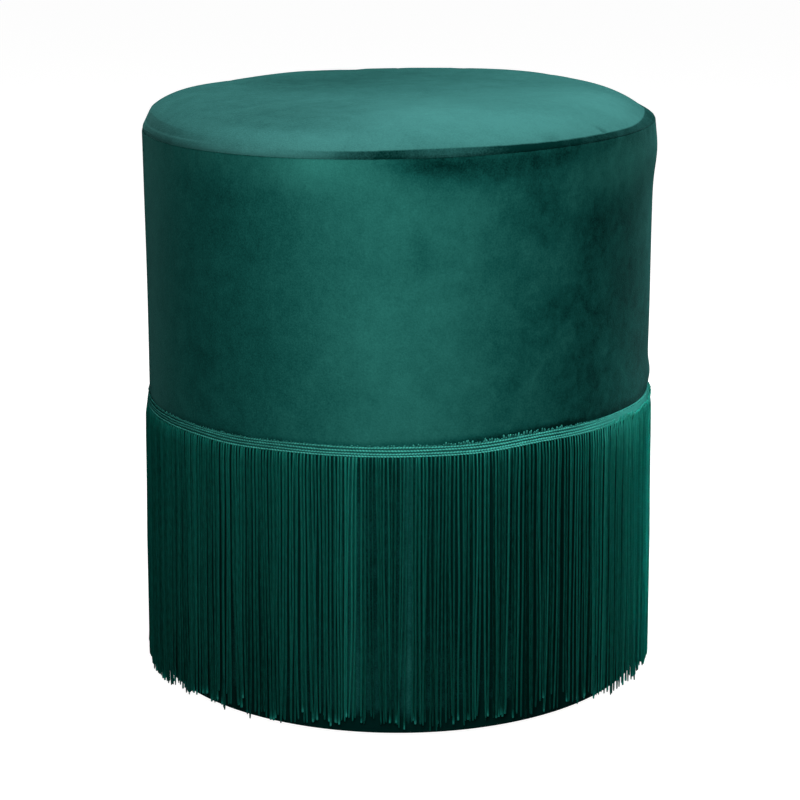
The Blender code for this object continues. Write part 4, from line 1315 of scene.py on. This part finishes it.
class STOOL_OT_underside(Operator):
    """Closes the base with a black dust cover, its staples, and four glides on their screws"""

    bl_idname = "stool.underside"
    bl_label = "Underside"

    DUST_STEPS = 192
    STAPLE_INSET = 0.006
    STAPLE_WIRE = 0.00032
    STAPLE_SIDES = 6
    TURNED_STEPS = 64
    GLIDE_BORE = 0.0052
    HEAD_RADIUS = 0.0041
    CROSS_REACH = 0.0027
    CROSS_HALF_WIDTH = 0.00055

    def execute(self, context):
        self.dust_cover()
        self.staples(context.scene.stool_sizes)
        self.glides()
        return {"FINISHED"}

    def dust_cover(self):
        """Thin cloth with a turned edge and a slack middle."""
        finish = grain_finish("dust_cloth_finish", (0.008, 0.008, 0.009), (0.045, 0.045, 0.046), EVEN,
                              700, 0.85)
        outside, low, high = DUST_HIGH.x - 0.0004, DUST_LOW.z, DUST_HIGH.z
        angles = TURN * np.arange(self.DUST_STEPS) / self.DUST_STEPS
        share = np.concatenate([np.linspace(0.03, 0.94, 22), (0.955, 0.975, 0.99, 1.0)])
        slack = 0.35 * MM * np.cos(share * math.pi * 0.5)
        lower = low - 0.25 * MM * (share > 0.945)
        radius = np.concatenate([share, share[::-1]])[:, None] * outside
        height = np.concatenate([lower - slack, np.full(len(share), high)])[:, None]
        pull = 0.12 * MM * ripples(angles, 71, (28, 56)) * (height < low) * (radius / outside) ** 6
        points = ring_point(radius, angles, height + pull)
        cover = add_piece("dust_sheet", points, lathe_faces(points), finish, ["dust_cover"])

    def staples(self, sizes):
        """Wire staples round the edge of the dust cover."""
        random = np.random.default_rng(73)
        finish = grain_finish("staple_finish", (0.42, 0.41, 0.38), (0.70, 0.68, 0.64), EVEN, 500, 0.35, 0.9)
        count = sizes.staple_count
        angle = TURN * (np.arange(count) + random.normal(0, 0.08, count)) / count
        across = np.array([-4.6, -4.6, -4.2, 4.2, 4.6, 4.6]) * MM
        drop = np.array([0.9, 0.1, -0.25, -0.25, 0.1, 0.9]) * MM
        skew = random.normal(0, 0.12, count)[:, None]
        radius = DUST_HIGH.x - self.STAPLE_INSET + across * np.sin(skew)
        height = DUST_LOW.z - 0.0003 + drop
        paths = ring_point(radius, angle[:, None] + across * np.cos(skew) / radius, height)
        normals = ring_point(1.0, angle, 0.0)[:, None, :]
        wire = np.full((count, len(across), self.STAPLE_SIDES), self.STAPLE_WIRE)
        points = sweep(paths, normals, wire, self.STAPLE_SIDES)
        quads, caps = tube_faces(*wire.shape)
        add_piece("dust_staples", points, [*quads.tolist(), *caps.tolist()], finish)

    def glides(self):
        """Turned nylon feet, each with a cross-head screw sunk in it."""
        nylon = grain_finish("nylon_finish", (0.016, 0.016, 0.017), (0.05, 0.05, 0.052), EVEN, 420, 0.5)
        steel = steel_finish()
        angles = TURN * np.arange(self.TURNED_STEPS) / self.TURNED_STEPS
        for number, node in enumerate(GLIDE_NODES, 1):
            low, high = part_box(node)
            middle = (low + high) / 2
            place = np.array([middle.x, middle.y, 0])
            points = self.foot(angles, low, high) + place
            add_piece(f"nylon_glide_{number}", points, ring_faces(points), nylon, [node])
            screw = f"glide_screw_{node.rsplit('_', 1)[1]}"
            points = self.screw(angles, *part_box(screw)) + place
            add_piece(f"cross_screw_{number}", points, lathe_faces(points), steel, [screw])

    def foot(self, angles, low, high):
        """Points of a foot with a rounded edge, bored for its screw."""
        bore, reach, tall = self.GLIDE_BORE, (high.x - low.x) / 2, high.z - low.z
        radius, height = as_columns([
            (bore, 0.0012), (0.0056, 0.0002), (0.0062, 0.0), (reach * 0.80, 0.0), (reach * 0.87, 0.0003),
            (reach * 0.95, 0.0010), (reach * 0.995, 0.0020), (reach, 0.0030), (reach, tall), (bore, tall)])
        return ring_point(radius, angles, height + low.z)

    def screw(self, angles, start, end):
        """Points of a screw: a low domed head with a cross in it, and a plain shank."""
        share = np.linspace(0.06, 1.0, 10)[:, None]
        head = share * self.HEAD_RADIUS
        beside = np.minimum(np.abs(head * np.cos(angles)), np.abs(head * np.sin(angles)))
        cross = (beside < self.CROSS_HALF_WIDTH) & (head < self.CROSS_REACH)
        sunk = np.where(cross, 0.0009, 0.00045 * (share ** 4))
        thick, below = as_columns([(0.0039, 0.0012), (0.0021, 0.0030), (0.0020, 0.0095),
                                   (0.0006, end.z - start.z)])
        below = np.broadcast_to(below, (len(below), len(angles)))
        return ring_point(np.concatenate([head, thick]), angles, start.z + np.concatenate([sunk, below]))


class STOOL_OT_frame_finishes(Operator):
    """Gives the boards, posts, ring, skin and screws of the frame their finishes"""

    bl_idname = "stool.frame_finishes"
    bl_label = "Frame finishes"

    # Each board or timber: its dark and light colour, stretch of the grain, bumps per metre and roughness.
    TIMBERS = {
        "plywood": ((0.42, 0.27, 0.13), (0.72, 0.55, 0.34), (1, 0.08, 6), 60, 0.7),
        "softwood": ((0.50, 0.32, 0.15), (0.78, 0.60, 0.36), (1, 1, 0.05), 90, 0.65),
        "hardboard": ((0.14, 0.08, 0.04), (0.30, 0.19, 0.11), EVEN, 300, 0.7),
    }

    def execute(self, context):
        finishes = {slot: grain_finish(f"{slot}_finish", *look) for slot, look in self.TIMBERS.items()}
        finishes["screw_steel"] = steel_finish()
        slots = {part["node"]: part["material_slot"] for part in frame["record"]["subparts"]}
        for name, node in frame["nodes"].items():
            if node.hide_render:
                continue
            node.data.materials.clear()
            node.data.materials.append(finishes[slots[name]])
        return {"FINISHED"}


class STOOL_PT_panel(Panel):
    """Lists the steps that dress the stool"""

    bl_idname = "STOOL_PT_panel"
    bl_label = "Fringed Velvet Stool"
    bl_space_type = "VIEW_3D"
    bl_region_type = "UI"
    bl_category = "Stool"

    def draw(self, context):
        for step in STEPS:
            self.layout.operator(step.bl_idname)
        for group in (context.scene.stool_sizes, context.scene.stool_colours):
            column = self.layout.column(align=True)
            for name in group.__annotations__:
                column.prop(group, name)


STEPS = (STOOL_OT_stage, STOOL_OT_fringe, STOOL_OT_heading, STOOL_OT_side_cover, STOOL_OT_seat_cover,
         STOOL_OT_padding, STOOL_OT_underside, STOOL_OT_frame_finishes)
CLASSES = (StoolSizes, StoolColours, *STEPS, STOOL_PT_panel)


def register():
    for item in CLASSES:
        bpy.utils.register_class(item)
    bpy.types.Scene.stool_sizes = PointerProperty(type=StoolSizes)
    bpy.types.Scene.stool_colours = PointerProperty(type=StoolColours)


def unregister():
    del bpy.types.Scene.stool_colours
    del bpy.types.Scene.stool_sizes
    for item in reversed(CLASSES):
        bpy.utils.unregister_class(item)


def main():
    register()
    for step in STEPS:
        group, name = step.bl_idname.split(".")
        getattr(getattr(bpy.ops, group), name)()


if __name__ == "__main__":
    main()
